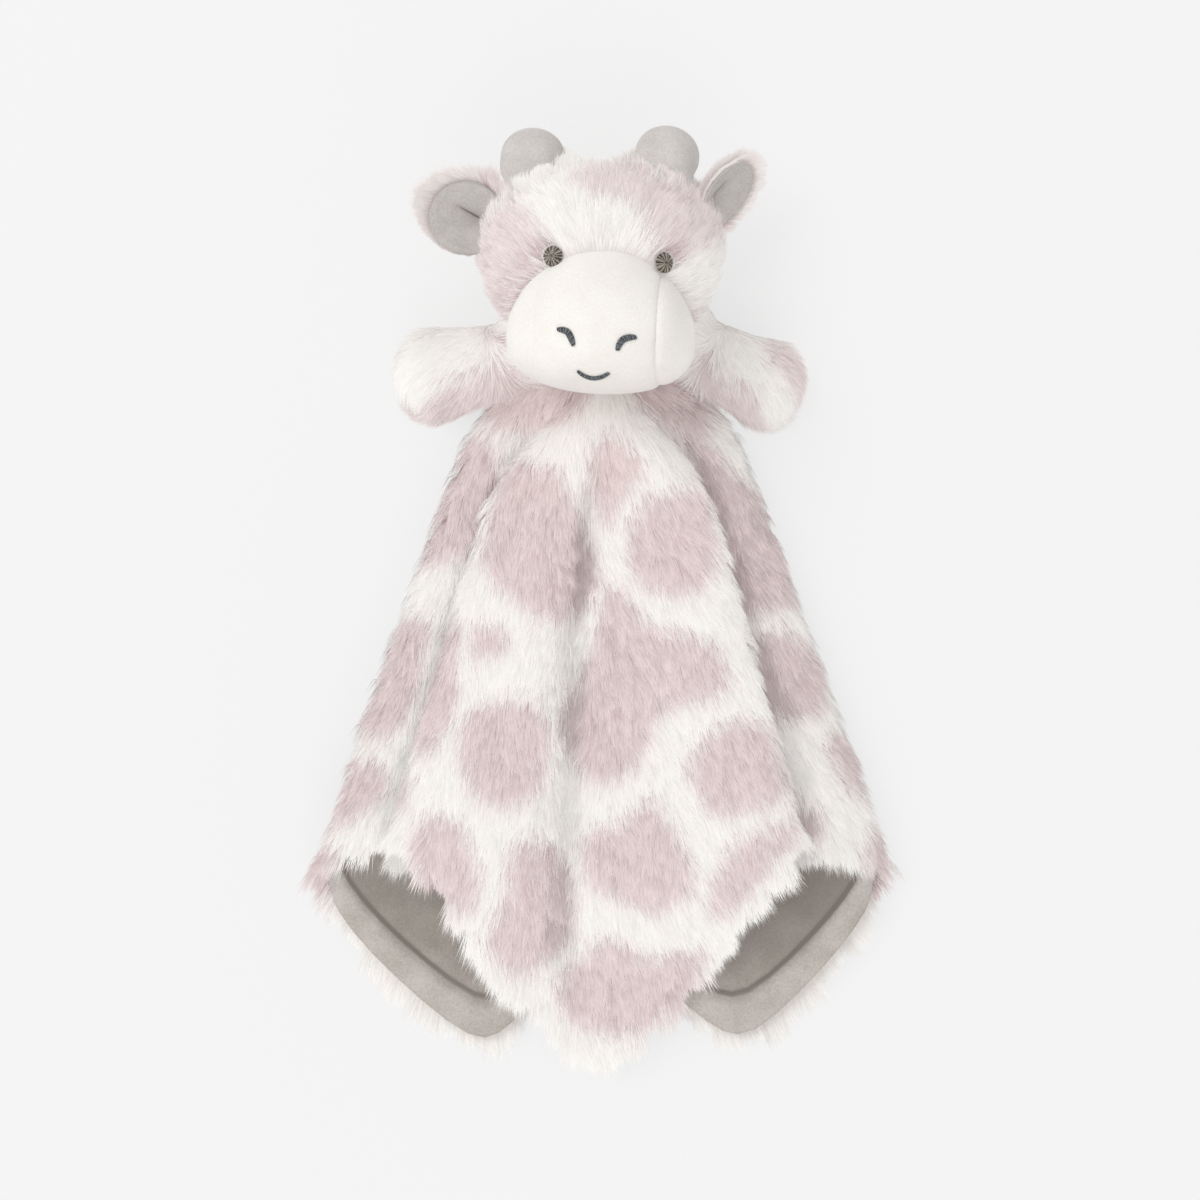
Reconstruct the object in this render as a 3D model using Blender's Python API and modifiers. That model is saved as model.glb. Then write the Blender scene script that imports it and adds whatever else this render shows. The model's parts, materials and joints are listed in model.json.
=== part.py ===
"""A giraffe comfort blanket lying on its back: a stuffed head and two stuffed arms, sewn at the
centre of a square two-layer blanket that falls in folds from the neck.

Metres. +Z points up from the table, +Y from the blanket's front corner to the head, and left and
right are the viewer's. The origin is on the table, under the middle of the toy.
"""

import math

import bmesh
import bpy
import numpy as np
from mathutils import Matrix, Vector

# Cloths and clearances
FUR_CLOTH = 0.0015
VELBOA = 0.001
CLEARANCE = 0.0003
LYING_FLAT = 0.0005
OVERRUN = 0.05
SHARP_ANGLE = 50

# Blanket
BLANKET_SIDE = 0.381
FOLD_PITCH = 0.0065
SHOULDER_START = 0.03
SHOULDER_RUN = 0.04
GATHER_REACH = 0.07
LAYER_REACH = 0.045
GATHER_RISE = 0.022
LOFT_REACH = 0.12
DROOP_START = 0.185
DROOP_RUN = 0.08

# Head
HEAD_RADIUS = 0.04
HEAD_HALF_HEIGHT = 0.036
HEAD_PLACE = 0.124

# Muzzle
MUZZLE_HALF_WIDTH = 0.035
MUZZLE_RISE = 0.034
MUZZLE_DROP = 0.027
MUZZLE_HALF_DEPTH = 0.029
MUZZLE_BELOW = 0.0223
MUZZLE_FORWARD = 0.0205
GUSSET_SEAM = 0.023
MUZZLE_ROUND_POWER = 2.3
CHIN_POWER = 3.4
CROWN_TAPER_SHARE = 0.33
CHIN_FLARE_SHARE = 0.06
MUZZLE_TILT = -2.5
MUZZLE_TURN = -5

# Embroidered face
EYE_DIAMETER = 0.007
EYE_RELIEF = 0.0016
EYE_SPREAD = 0.0204
EYE_SHIFT = 0.0026
EYE_HEIGHT = 0.0016
EYE_SLOPE = 0.0011
THREAD_RADIUS = 0.0007
NOSTRIL_SPREAD = 0.0083
NOSTRIL_WIDTH = 0.0056
NOSTRIL_HEIGHT = 0.0052
NOSTRIL_PLACE = 0.0046
MOUTH_WIDTH = 0.0118
MOUTH_DEPTH = 0.003
MOUTH_PLACE = 0.0185
MOUTH_POWER = 2.5
NOSTRIL_ARC = (100, -5)
STITCH_END_SHARE = 0.45
NOSTRIL_POINTS = 7
MOUTH_POINTS = 9

# Horns
HORN_RADIUS = 0.0124
HORN_BASE_RADIUS = 0.0108
HORN_REACH = 0.0118
HORN_WAIST = -28
HORN_SIDES = 16
# Where each horn leaves the head (latitude, longitude), and the direction in which it points
HORNS = (("left", 50, -75, (-0.12, 0.99, -0.06)), ("right", 52, 76, (0.02, 0.99, -0.06)))

# Ears
EAR_HALF_LENGTH = 0.0143
LEFT_EAR_HALF_WIDTH = 0.0138
RIGHT_EAR_HALF_WIDTH = 0.0102
EAR_CUP = 0.003
EAR_CREASE_WIDTH = 0.0032
EAR_CLEARANCE = 0.00085
EAR_RING_SHARES = (0.3, 0.62, 0.85, 1)
EAR_SIDES = 20
# Where each ear leaves the head (latitude, longitude), its direction, the side it faces, and how wide
# it lies open
EARS = (
    ("left", 24, -88, (-0.97, 0.2, 0.12), (0.12, -0.1, 1), LEFT_EAR_HALF_WIDTH),
    ("right", 27.5, 91, (0.64, 0.77, 0.08), (0.6, -0.45, 0.66), RIGHT_EAR_HALF_WIDTH),
)

# Arms
SHOULDER_RADIUS = 0.0118
SHOULDER_OPENING = 0.0055
LEFT_PAW_RADIUS = 0.0145
RIGHT_PAW_RADIUS = 0.0136
ARM_REACH = 0.0278
PAW_WAIST = -18
SHOULDER_WAIST = 22
ARM_SIDES = 18
# Where each arm leaves the head (latitude, longitude), its heading on the table, and its paw
ARMS = (
    ("left", -39, -122, 196, LEFT_PAW_RADIUS),
    ("right", -35, 122, -29, RIGHT_PAW_RADIUS),
)

HEAD_CENTRE = Vector((0, HEAD_PLACE, HEAD_RADIUS - LYING_FLAT))

# One turn round the blanket at the hem, from the front corner round by the left: the ray's angle on
# the flat square in degrees, its place across the folded width, its layer in the pile, and its
# length where the cloth lies slack (under 1) or is pulled straight (over 1).
FOLD_SHARES = (
    (0, 0, 5.35, 1.022),
    (5, 0.15, 4.5, 1.02),
    (10, 0.33, 5.6, 1.015),
    (15, 0.45, 5.7, 1.01),
    (21, 0.57, 5.4, 1),
    (26, 0.7, 5.38, 1),
    (30, 0.77, 4.85, 1),
    (34, 0.7, 4.35, 1),
    (44, 0.42, 4.33, 1),
    (48.5, 0.33, 3.75, 1),
    (53, 0.42, 3.17, 1),
    (65, 0.86, 3.15, 1.03),
    (69, 0.96, 3.05, 1.06),
    (73.5, 1, 2.6, 1.1),
    (78, 0.95, 2.15, 1.1),
    (90, 0.37, 2.13, 1.06),
    (99, 0.13, 2.13, 1.03),
    (103.5, 0.06, 1.55, 1),
    (108, 0.13, 1, 1),
    (136, 0.89, 0.98, 1),
    (141, 0.945, 0.6, 1),
    (146, 0.89, 0.25, 1),
    (180, 0, 0.25, 0.96),
    (214, -0.89, 0.25, 1),
    (219, -0.945, 0.6, 1),
    (224, -0.89, 0.98, 1),
    (252, -0.13, 1, 1),
    (256.5, -0.06, 1.55, 1),
    (261, -0.13, 2.13, 1.03),
    (270, -0.434, 2.13, 1.06),
    (282, -0.95, 2.15, 1.1),
    (286.5, -1, 2.6, 1.08),
    (291, -0.95, 3.05, 1.055),
    (295, -0.85, 3.15, 1.03),
    (307, -0.45, 3.15, 1),
    (311.5, -0.36, 3.75, 1),
    (316, -0.45, 4.33, 1),
    (326, -0.68, 4.35, 1),
    (330, -0.735, 4.9, 1),
    (334, -0.68, 5.45, 1),
    (340, -0.55, 5.7, 1),
    (346, -0.42, 5.75, 1.01),
    (351, -0.28, 5.65, 1.015),
    (356, -0.1, 5.5, 1.02),
)
BOTTOM_LAYER_SHARE = 0.25
SHOULDER_SPREAD_SHARE = 0.9
SKIRT_SPREAD_SHARE = 0.36
FIRST_LOFT_SHARE = 0.85
DROOP_SHARE = 0.62
RING_SHARES = (0.1, 0.17, 0.25, 0.35, 0.54, 0.78, 1)
CORNER_POWER = 24
SAMPLES_A_ROW = 2
PATH_STEPS = 120


def smoothstep(value):
    """0 below 0, 1 above 1 and an even curve between them."""
    value = np.clip(value, 0, 1)
    return value * value * (3 - 2 * value)


def fold_rays(samples_a_row):
    """Columns of FOLD_SHARES along a smooth closed ring that never overshoots a row: each row's slope
    is the harmonic mean of the steps beside it, and nothing where they turn back."""
    rows = np.array(FOLD_SHARES, float)
    whole_turn = np.array((360, 0, 0, 0))
    following = np.r_[rows[1:], rows[:1] + whole_turn]
    ahead = following - rows
    behind = np.roll(ahead, 1, axis=0)
    same_way = ahead * behind > 0
    slope = np.where(same_way, 2 * ahead * behind / np.where(same_way, ahead + behind, 1), 0)
    slope_on = np.roll(slope, -1, axis=0)
    part = (np.arange(samples_a_row) / samples_a_row)[:, None, None]
    bend = part * (1 - part) * ((1 - part) * (slope - ahead) - part * (slope_on - ahead))
    rays = (rows + part * ahead + bend).transpose(1, 0, 2).reshape(-1, 4).T
    return np.r_[np.radians(rays[:1]), rays[1:]]


def hem_distance(angle):
    """Distance from the blanket's centre to its hem: a square whose corners are turned round."""
    across = np.abs(np.cos(angle - math.pi / 4))
    along = np.abs(np.sin(angle - math.pi / 4))
    return BLANKET_SIDE / 2 / (across**CORNER_POWER + along**CORNER_POWER) ** (1 / CORNER_POWER)


def half_width(distance):
    """Half the folded width, growing fast over the shoulders and then steadily to the hem."""
    slope_change = smoothstep((distance - SHOULDER_START) / SHOULDER_RUN)
    slope = SHOULDER_SPREAD_SHARE + (SKIRT_SPREAD_SHARE - SHOULDER_SPREAD_SHARE) * slope_change
    steps = np.diff(distance, axis=-1, prepend=0)
    return np.cumsum(slope * steps, axis=-1)


def drape(samples_a_row, ring_shares):
    """Mid-surface of the draped blanket. Along each ray the cloth runs from the centre to the hem;
    it leaves the centre as a flattened cone, parts into its layers over LAYER_REACH and is gathered
    into its folds over GATHER_REACH. What a ray doesn't spend on going sideways or down, it spends
    on going along -Y. The rings are round near the centre and square at the hem."""
    angle, width_share, layer_share, length_share = fold_rays(samples_a_row)[:, :, None]
    path = np.linspace(0, 1, PATH_STEPS + 1)[None, :] * hem_distance(angle)
    gathered = smoothstep(path / GATHER_REACH)
    across = np.sin(angle) + (width_share - np.sin(angle)) * gathered
    x = -across * half_width(path)
    loft = FIRST_LOFT_SHARE + (1 - FIRST_LOFT_SHARE) * smoothstep(path / LOFT_REACH)
    loft = loft * (1 - DROOP_SHARE * smoothstep((path - DROOP_START) / DROOP_RUN))
    floor_height = FUR_CLOTH + CLEARANCE / 2 - LYING_FLAT
    folded = floor_height + (layer_share - BOTTOM_LAYER_SHARE) * FOLD_PITCH * loft
    top = max(row[2] for row in FOLD_SHARES) * FOLD_PITCH * FIRST_LOFT_SHARE
    cone = floor_height + (top - floor_height) * (1 + np.cos(angle)) / 2
    near = np.exp(-path / GATHER_RISE)
    spread = APEX.z * near + cone * (1 - near)
    z = spread + (folded - spread) * smoothstep(path / LAYER_REACH)
    steps = np.diff(path, axis=1, prepend=0)
    sideways = np.diff(x, axis=1, prepend=0)
    upward = np.diff(z, axis=1, prepend=APEX.z)
    left_over = np.maximum(steps**2 - sideways**2 - upward**2, steps**2 / PATH_STEPS)
    y = APEX.y - np.cumsum(np.sqrt(left_over), axis=1) * length_share
    shares = np.array(ring_shares)[None, :]
    shortest = BLANKET_SIDE / 2 / hem_distance(angle)
    picked = np.rint(shares * (shortest + (1 - shortest) * shares) * PATH_STEPS).astype(int)
    rings = [np.take_along_axis(values, picked, axis=1) for values in (x, y, z)]
    return np.stack(rings, axis=-1).transpose(1, 0, 2)


def head_seat(latitude, longitude, standoff):
    """The point that lies standoff outside the head, and the head's outward direction there.
    Latitude climbs to the crown, and longitude turns from the face (0) to the right (90)."""
    up = math.radians(latitude)
    turn = math.radians(longitude)
    ring = math.cos(up)
    unit = Vector((ring * math.sin(turn), math.sin(up), ring * math.cos(turn)))
    surface = Vector((unit.x * HEAD_RADIUS, unit.y * HEAD_HALF_HEIGHT, unit.z * HEAD_RADIUS))
    outward = Vector((unit.x / HEAD_RADIUS, unit.y / HEAD_HALF_HEIGHT, unit.z / HEAD_RADIUS))
    outward.normalize()
    return HEAD_CENTRE + surface + outward * standoff, outward


APEX = head_seat(-72, 180, CLEARANCE + FUR_CLOTH + CLEARANCE / 2)[0]


def linear(hex_colour):
    """sRGB hex as linear RGBA."""
    levels = [int(hex_colour[i : i + 2], 16) / 255 for i in (0, 2, 4)]
    return [v / 12.92 if v <= 0.04045 else ((v + 0.055) / 1.055) ** 2.4 for v in levels] + [1]


def make_material(name, hex_colour, roughness):
    material = bpy.data.materials.new(name)
    material.use_nodes = True
    shader = material.node_tree.nodes["Principled BSDF"]
    shader.inputs["Base Color"].default_value = linear(hex_colour)
    shader.inputs["Roughness"].default_value = roughness
    shader.inputs["Metallic"].default_value = 0
    material.diffuse_color = linear(hex_colour)
    return material


def add_piece(name, mesh, hex_colour, roughness, parent, place=None):
    """A visible sub-part with a material of its own, carried by parent."""
    piece = bpy.data.objects.new(name, mesh)
    mesh.materials.append(make_material(name, hex_colour, roughness))
    mesh.shade_smooth()
    mesh.set_sharp_from_angle(angle=math.radians(SHARP_ANGLE))
    toy.objects.link(piece)
    if place is not None:
        piece.matrix_world = place
    piece.parent = parent
    piece.matrix_parent_inverse = parent.matrix_world.inverted()
    return piece


def add_cutter(name, mesh, place=None):
    """A helper shape for Booleans, kept out of renders."""
    cutter = bpy.data.objects.new(name, mesh)
    cutters.objects.link(cutter)
    cutter.hide_render = True
    cutter.display_type = "WIRE"
    if place is not None:
        cutter.matrix_world = place
    return cutter


def add_joint(name, point):
    """An empty on the joint's axis, which carries the moving pieces."""
    joint = bpy.data.objects.new(name, None)
    toy.objects.link(joint)
    joint.location = point
    joint.empty_display_size = HEAD_RADIUS
    bpy.context.view_layer.update()
    return joint


def boolean(piece, operation, other):
    modifier = piece.modifiers.new(operation.lower(), "BOOLEAN")
    modifier.operation = operation
    modifier.solver = "EXACT"
    modifier.object = other


def solidify(piece, thickness, side, gap=0.0):
    """Cloth on one side of the modelled surface: side is 1 outwards or -1 inwards, and the cloth
    starts half of gap away from the surface."""
    modifier = piece.modifiers.new("cloth", "SOLIDIFY")
    modifier.thickness = thickness
    modifier.offset = side * (1 + gap / thickness)


def displace(piece, distance):
    """Moves the surface along its normals."""
    modifier = piece.modifiers.new("offset", "DISPLACE")
    modifier.mid_level = 0
    modifier.strength = distance


def mesh_of(name, build):
    """A mesh made by build on a new bmesh."""
    shape = bmesh.new()
    build(shape)
    mesh = bpy.data.meshes.new(name)
    shape.to_mesh(mesh)
    shape.free()
    return mesh


def loft(name, rings, start=None, end=None):
    """Skin over closed rings of equal count, closed by a fan to the start and end points given. Seen
    from outside, the rings run downwards and their points to the left."""
    rings = np.asarray(rings, float)
    count = rings.shape[1]

    def build(shape):
        rows = [[shape.verts.new(point) for point in ring] for ring in rings]
        for lower, upper in zip(rows, rows[1:]):
            for i in range(count):
                shape.faces.new((lower[i], upper[i], upper[i - 1], lower[i - 1]))
        for point, row, turn in ((start, rows[0], 1), (end, rows[-1], -1)):
            if point is None:
                continue
            pole = shape.verts.new(point)
            for i in range(count):
                shape.faces.new((pole, row[i], row[i - 1])[::turn])

    return mesh_of(name, build)


def head_ball(name):
    """The head's outside about its own centre: a ball flattened along Y."""

    def build(shape):
        bmesh.ops.create_uvsphere(shape, u_segments=28, v_segments=14, radius=1)
        bmesh.ops.rotate(shape, verts=shape.verts, matrix=Matrix.Rotation(math.pi / 2, 3, "X"))
        size = (HEAD_RADIUS, HEAD_HALF_HEIGHT, HEAD_RADIUS)
        bmesh.ops.scale(shape, verts=shape.verts, vec=size)

    return mesh_of(name, build)


def block(name, size, centre):
    def build(shape):
        bmesh.ops.create_cube(shape, size=1)
        bmesh.ops.scale(shape, verts=shape.verts, vec=size)
        bmesh.ops.translate(shape, verts=shape.verts, vec=centre)

    return mesh_of(name, build)


def arc(radius, centre, first, last, count):
    """Points (radius from the axis, height) on an arc about a point of the axis, in degrees."""
    turn = np.radians(np.linspace(first, last, count))
    return list(zip(radius * np.cos(turn), centre + radius * np.sin(turn)))


def profile_mesh(name, points):
    mesh = bpy.data.meshes.new(name)
    rows = [(max(out, 0), 0, height) for out, height in points]
    mesh.from_pydata(rows, [(i, i + 1) for i in range(len(rows) - 1)], [])
    return mesh


def turn_profile(piece, steps):
    modifier = piece.modifiers.new("turned", "SCREW")
    modifier.steps = steps
    modifier.render_steps = steps
    modifier.use_merge_vertices = True
    modifier.merge_threshold = CLEARANCE / 10
    modifier.use_smooth_shade = True


def axis_frame(origin, direction, across=(0, 0, 1)):
    """A placement whose local Z runs along direction and whose local X lies towards across."""
    along = Vector(direction).normalized()
    side = Vector(across)
    side = (side - along * side.dot(along)).normalized()
    other = along.cross(side)
    turned = Matrix((side, other, along)).transposed().to_4x4()
    return Matrix.Translation(origin) @ turned


def make_blanket(parent):
    """Long-pile fur panel outside and plain lining inside, sewn together and turned."""
    rings = drape(SAMPLES_A_ROW, RING_SHARES)
    fur = add_piece("blanket_fur_panel", loft("blanket_fur_panel", rings, APEX), "F1E6E4", 0.95, parent)
    solidify(fur, FUR_CLOTH, 1, CLEARANCE)
    boolean(fur, "DIFFERENCE", table)
    lining_mesh = loft("blanket_lining", rings, APEX)
    lining = add_piece("blanket_lining", lining_mesh, "ABA7A3", 0.9, parent)
    solidify(lining, VELBOA, -1, CLEARANCE)


def muzzle_shape(name, segments=28, rows=11):
    """The muzzle about its own centre, as rings along its local Y. Upwards it rounds off and
    narrows like an egg; downwards it is fuller, with a blunt chin."""
    rings = []
    turn = np.linspace(0, -2 * math.pi, segments, endpoint=False)
    power = 2 / MUZZLE_ROUND_POWER
    side = np.sign(np.cos(turn)) * np.abs(np.cos(turn)) ** power
    depth = np.sign(np.sin(turn)) * np.abs(np.sin(turn)) ** power
    for height in np.linspace(-math.pi / 2, math.pi / 2, rows + 2)[1:-1]:
        above = height > 0
        reach = MUZZLE_RISE if above else MUZZLE_DROP
        steep = math.sin(abs(height)) ** (2 / (2 if above else CHIN_POWER))
        wide = math.cos(height)
        taper = 1 - (CROWN_TAPER_SHARE * steep if above else -CHIN_FLARE_SHARE * steep)
        x = MUZZLE_HALF_WIDTH * wide * taper * side
        z = MUZZLE_HALF_DEPTH * wide * depth
        rings.append(np.c_[x, np.full(segments, math.copysign(reach * steep, height)), z])
    return loft(name, rings, (0, -MUZZLE_DROP, 0), (0, MUZZLE_RISE, 0))


def muzzle_point(x, y, standoff):
    """A point of the muzzle's front at local x and y, lifted off the surface by standoff."""

    def height(x, y):
        reach = MUZZLE_RISE if y > 0 else MUZZLE_DROP
        steep = abs(y) / reach
        wide = math.sqrt(1 - steep ** (2 if y > 0 else CHIN_POWER))
        taper = 1 - CROWN_TAPER_SHARE * steep if y > 0 else 1 + CHIN_FLARE_SHARE * steep
        across = abs(x) / (MUZZLE_HALF_WIDTH * wide * taper)
        rest = 1 - across**MUZZLE_ROUND_POWER
        return MUZZLE_HALF_DEPTH * wide * rest ** (1 / MUZZLE_ROUND_POWER)

    step = CLEARANCE
    slope_x = (height(x + step, y) - height(x - step, y)) / (2 * step)
    slope_y = (height(x, y + step) - height(x, y - step)) / (2 * step)
    outward = Vector((-slope_x, -slope_y, 1)).normalized()
    return Vector((x, y, height(x, y))) + outward * standoff


def offset_cutter(name, mesh, place, distance):
    """A cutter grown (or, with a negative distance, shrunk) from the shape that it fits."""
    cutter = add_cutter(name, mesh, place)
    displace(cutter, distance)
    return cutter


def make_head(joint):
    """Stuffed ball in fur cloth, cut open where the smooth muzzle is sewn in."""
    cover = add_piece("head_cover", head_ball("head_cover"), "F1E6E4", 0.95, joint, ball_place)
    solidify(cover, FUR_CLOTH, -1)
    opening = offset_cutter("muzzle_opening", muzzle_shape("opening"), muzzle_place, CLEARANCE)
    boolean(cover, "DIFFERENCE", opening)
    boolean(cover, "DIFFERENCE", table)

    filling = add_piece("head_filling", head_ball("head_filling"), "F7F7F4", 1, joint, ball_place)
    displace(filling, -FUR_CLOTH - CLEARANCE)
    core = offset_cutter("muzzle_core", muzzle_shape("core"), muzzle_place, -VELBOA - CLEARANCE)
    boolean(filling, "UNION", core)


def make_muzzle(joint):
    """Three panels of short-pile velboa: the front with the chin, and a gusset on each side."""
    seat = offset_cutter("muzzle_seat", head_ball("muzzle_seat"), ball_place, -FUR_CLOTH)
    gusset = MUZZLE_HALF_WIDTH + OVERRUN - GUSSET_SEAM
    middle = GUSSET_SEAM + gusset / 2 + CLEARANCE / 2
    panels = (
        ("muzzle_front_panel", 0, 2 * GUSSET_SEAM - CLEARANCE),
        ("muzzle_side_panel_left", -middle, gusset),
        ("muzzle_side_panel_right", middle, gusset),
    )
    tall = 2 * (MUZZLE_RISE + OVERRUN)
    for name, x, width in panels:
        panel = add_piece(name, muzzle_shape(name), "F6F1EB", 0.85, joint, muzzle_place)
        solidify(panel, VELBOA, -1)
        boolean(panel, "DIFFERENCE", seat)
        slab_mesh = block(name + "_slab", (width, tall, tall), (x, 0, 0))
        boolean(panel, "INTERSECT", add_cutter(name + "_slab", slab_mesh, muzzle_place))


def make_eyes(joint):
    """Satin-stitched round eyes, just above the muzzle."""
    for name, side in (("eye_left", -1), ("eye_right", 1)):
        x = side * EYE_SPREAD + EYE_SHIFT
        y = EYE_HEIGHT - side * EYE_SLOPE
        latitude = math.degrees(math.asin(y / HEAD_HALF_HEIGHT))
        longitude = math.degrees(math.asin(x / HEAD_RADIUS / math.cos(math.radians(latitude))))
        point, outward = head_seat(latitude, longitude, CLEARANCE + EYE_RELIEF / 2)

        def build(shape):
            bmesh.ops.create_uvsphere(shape, u_segments=14, v_segments=6, radius=1)
            lens = (EYE_DIAMETER / 2, EYE_DIAMETER / 2, EYE_RELIEF / 2)
            bmesh.ops.scale(shape, verts=shape.verts, vec=lens)

        place = axis_frame(point, outward, (1, 0, 0))
        add_piece(name, mesh_of(name, build), "55504B", 0.6, joint, place)


def add_stitch_line(name, points, joint):
    """A raised line of satin stitch that tapers to its ends."""
    curve = bpy.data.curves.new(name, "CURVE")
    curve.dimensions = "3D"
    curve.bevel_depth = THREAD_RADIUS
    curve.bevel_resolution = 1
    curve.use_fill_caps = True
    spline = curve.splines.new("POLY")
    spline.points.add(len(points[1:]))
    turns = np.linspace(0, math.pi, len(points))
    for point, turn, end in zip(points, turns, spline.points):
        end.co = (*point, 1)
        end.radius = STITCH_END_SHARE + (1 - STITCH_END_SHARE) * math.sin(turn)
    line = bpy.data.objects.new(name, curve)
    cutters.objects.link(line)
    line.matrix_world = muzzle_place
    bpy.context.view_layer.update()
    graph = bpy.context.evaluated_depsgraph_get()
    mesh = bpy.data.meshes.new_from_object(line.evaluated_get(graph))
    shape = bmesh.new()
    shape.from_mesh(mesh)
    bmesh.ops.remove_doubles(shape, verts=shape.verts, dist=CLEARANCE / 10)
    bmesh.ops.recalc_face_normals(shape, faces=shape.faces)
    shape.to_mesh(mesh)
    shape.free()
    bpy.data.objects.remove(line)
    add_piece(name, mesh, "5B6168", 0.6, joint, muzzle_place)


def make_nose_and_mouth(joint):
    """Two arched nostrils and a smile, embroidered on the muzzle's front."""
    lift = THREAD_RADIUS + CLEARANCE
    for name, side in (("nostril_left", -1), ("nostril_right", 1)):
        points = []
        for turn in np.radians(np.linspace(*NOSTRIL_ARC, NOSTRIL_POINTS)):
            x = side * (NOSTRIL_SPREAD + NOSTRIL_WIDTH * (1 - math.cos(turn)))
            y = -NOSTRIL_PLACE - NOSTRIL_HEIGHT * (1 - math.sin(turn))
            points.append(muzzle_point(x, y, lift))
        add_stitch_line(name, points, joint)
    points = []
    for share in np.linspace(-1, 1, MOUTH_POINTS):
        y = -MOUTH_PLACE - MOUTH_DEPTH * (1 - abs(share) ** MOUTH_POWER)
        points.append(muzzle_point(share * MOUTH_WIDTH / 2, y, lift))
    add_stitch_line("mouth", points, joint)


def horn_profile(radius, base_radius):
    """Down the outside from the tip: a dome, drawn in below to the sewn base inside the head."""
    dome = arc(radius, HORN_REACH, 90, HORN_WAIST, 9)
    return [*dome, (base_radius, -HORN_BASE_RADIUS)]


def make_horns(joint):
    """Small stuffed velboa knobs on the crown, open where they are sewn in."""
    seat = offset_cutter("horn_seat", head_ball("horn_seat"), ball_place, CLEARANCE)
    for side, latitude, longitude, direction in HORNS:
        place = axis_frame(head_seat(latitude, longitude, 0)[0], direction)
        outside = horn_profile(HORN_RADIUS, HORN_BASE_RADIUS)
        inside = horn_profile(HORN_RADIUS - VELBOA, HORN_BASE_RADIUS - VELBOA)
        cover_mesh = profile_mesh("horn_cover_" + side, outside + inside[::-1])
        cover = add_piece("horn_cover_" + side, cover_mesh, "C6C2BE", 0.9, joint, place)
        turn_profile(cover, HORN_SIDES)
        boolean(cover, "DIFFERENCE", seat)
        stuffed = VELBOA + CLEARANCE
        core = horn_profile(HORN_RADIUS - stuffed, HORN_BASE_RADIUS - stuffed)
        core = [*core, (0, -HORN_BASE_RADIUS)]
        filling_mesh = profile_mesh("horn_filling_" + side, core)
        filling = add_piece("horn_filling_" + side, filling_mesh, "F7F7F4", 1, joint, place)
        turn_profile(filling, HORN_SIDES)
        boolean(filling, "DIFFERENCE", seat)


def ear_rings(rows, count, half_width):
    """Disc of the ear, root at -X. It is cupped, and pinched along a crease from its root."""
    rings = []
    turn = np.linspace(0, -2 * math.pi, count, endpoint=False)
    for share in rows:
        x = EAR_HALF_LENGTH * share * np.cos(turn)
        y = half_width * share * np.sin(turn)
        rootward = smoothstep((EAR_HALF_LENGTH - x) / (2 * EAR_HALF_LENGTH))
        crease = np.exp(-((y / EAR_CREASE_WIDTH) ** 2)) * rootward
        rings.append(np.c_[x, y, EAR_CUP * share**2 - EAR_CUP * crease])
    return rings, (0, 0, -EAR_CUP / 2)


def make_ears(head_joint):
    """Two cloths each: fur behind and velboa in front, sewn round the rim and pinched at the root."""
    for side, latitude, longitude, direction, facing, half_width in EARS:
        seat, _ = head_seat(latitude, longitude, 0)
        joint = add_joint("ear_joint_" + side, seat)
        joint.parent = head_joint
        joint.matrix_parent_inverse = head_joint.matrix_world.inverted()
        bpy.context.view_layer.update()
        root, outward = head_seat(latitude, longitude, EAR_CLEARANCE)
        along = Vector(direction).normalized()
        place = axis_frame(root + along * EAR_HALF_LENGTH, facing, along)
        rings, middle = ear_rings(EAR_RING_SHARES, EAR_SIDES, half_width)
        front_mesh = loft("ear_front_" + side, rings, middle)
        front = add_piece("ear_front_" + side, front_mesh, "BDB9B5", 0.9, joint, place)
        solidify(front, VELBOA, 1, CLEARANCE)
        back_mesh = loft("ear_back_" + side, rings, middle)
        back = add_piece("ear_back_" + side, back_mesh, "EFE3E2", 0.95, joint, place)
        solidify(back, FUR_CLOTH, -1, CLEARANCE)


def arm_profile(inset, length, paw_radius, last):
    """Down the outside from the paw's tip: the round paw, a taper, and the round shoulder."""
    paw = arc(paw_radius - inset, length, 90, PAW_WAIST, 8)
    shoulder = arc(SHOULDER_RADIUS - inset, 0, SHOULDER_WAIST, last, 5)
    return paw + shoulder


def make_arms():
    """Stuffed fur paws, open at the shoulder where they are sewn in between head and blanket."""
    for side, latitude, longitude, heading, paw_radius in ARMS:
        centre, _ = head_seat(latitude, longitude, SHOULDER_RADIUS + CLEARANCE)
        joint = add_joint("arm_joint_" + side, centre)
        turn = math.radians(heading)
        fall = paw_radius - LYING_FLAT - centre.z
        reach = Vector((ARM_REACH * math.cos(turn), ARM_REACH * math.sin(turn), fall))
        place = axis_frame(centre, reach)
        mouth = -math.degrees(math.acos(SHOULDER_OPENING / SHOULDER_RADIUS))
        outside = arm_profile(0, reach.length, paw_radius, mouth)
        inside = arm_profile(FUR_CLOTH, reach.length, paw_radius, mouth)
        cover_mesh = profile_mesh("arm_cover_" + side, outside + inside[::-1])
        cover = add_piece("arm_cover_" + side, cover_mesh, "F3E9E7", 0.95, joint, place)
        turn_profile(cover, ARM_SIDES)
        boolean(cover, "DIFFERENCE", table)
        core = arm_profile(FUR_CLOTH + CLEARANCE, reach.length, paw_radius, mouth)
        filling_mesh = profile_mesh("arm_filling_" + side, [*core, (0, core[-1][1])])
        filling = add_piece("arm_filling_" + side, filling_mesh, "F7F7F4", 1, joint, place)
        turn_profile(filling, ARM_SIDES)


for old in list(bpy.data.objects):
    bpy.data.objects.remove(old)

toy = bpy.data.collections.new("giraffe_comfort_blanket")
cutters = bpy.data.collections.new("cutters")
bpy.context.scene.collection.children.link(toy)
bpy.context.scene.collection.children.link(cutters)

table_size = (BLANKET_SIDE + OVERRUN, 2 * BLANKET_SIDE, OVERRUN)
table = add_cutter("table", block("table", table_size, (0, 0, -OVERRUN / 2)))

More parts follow.
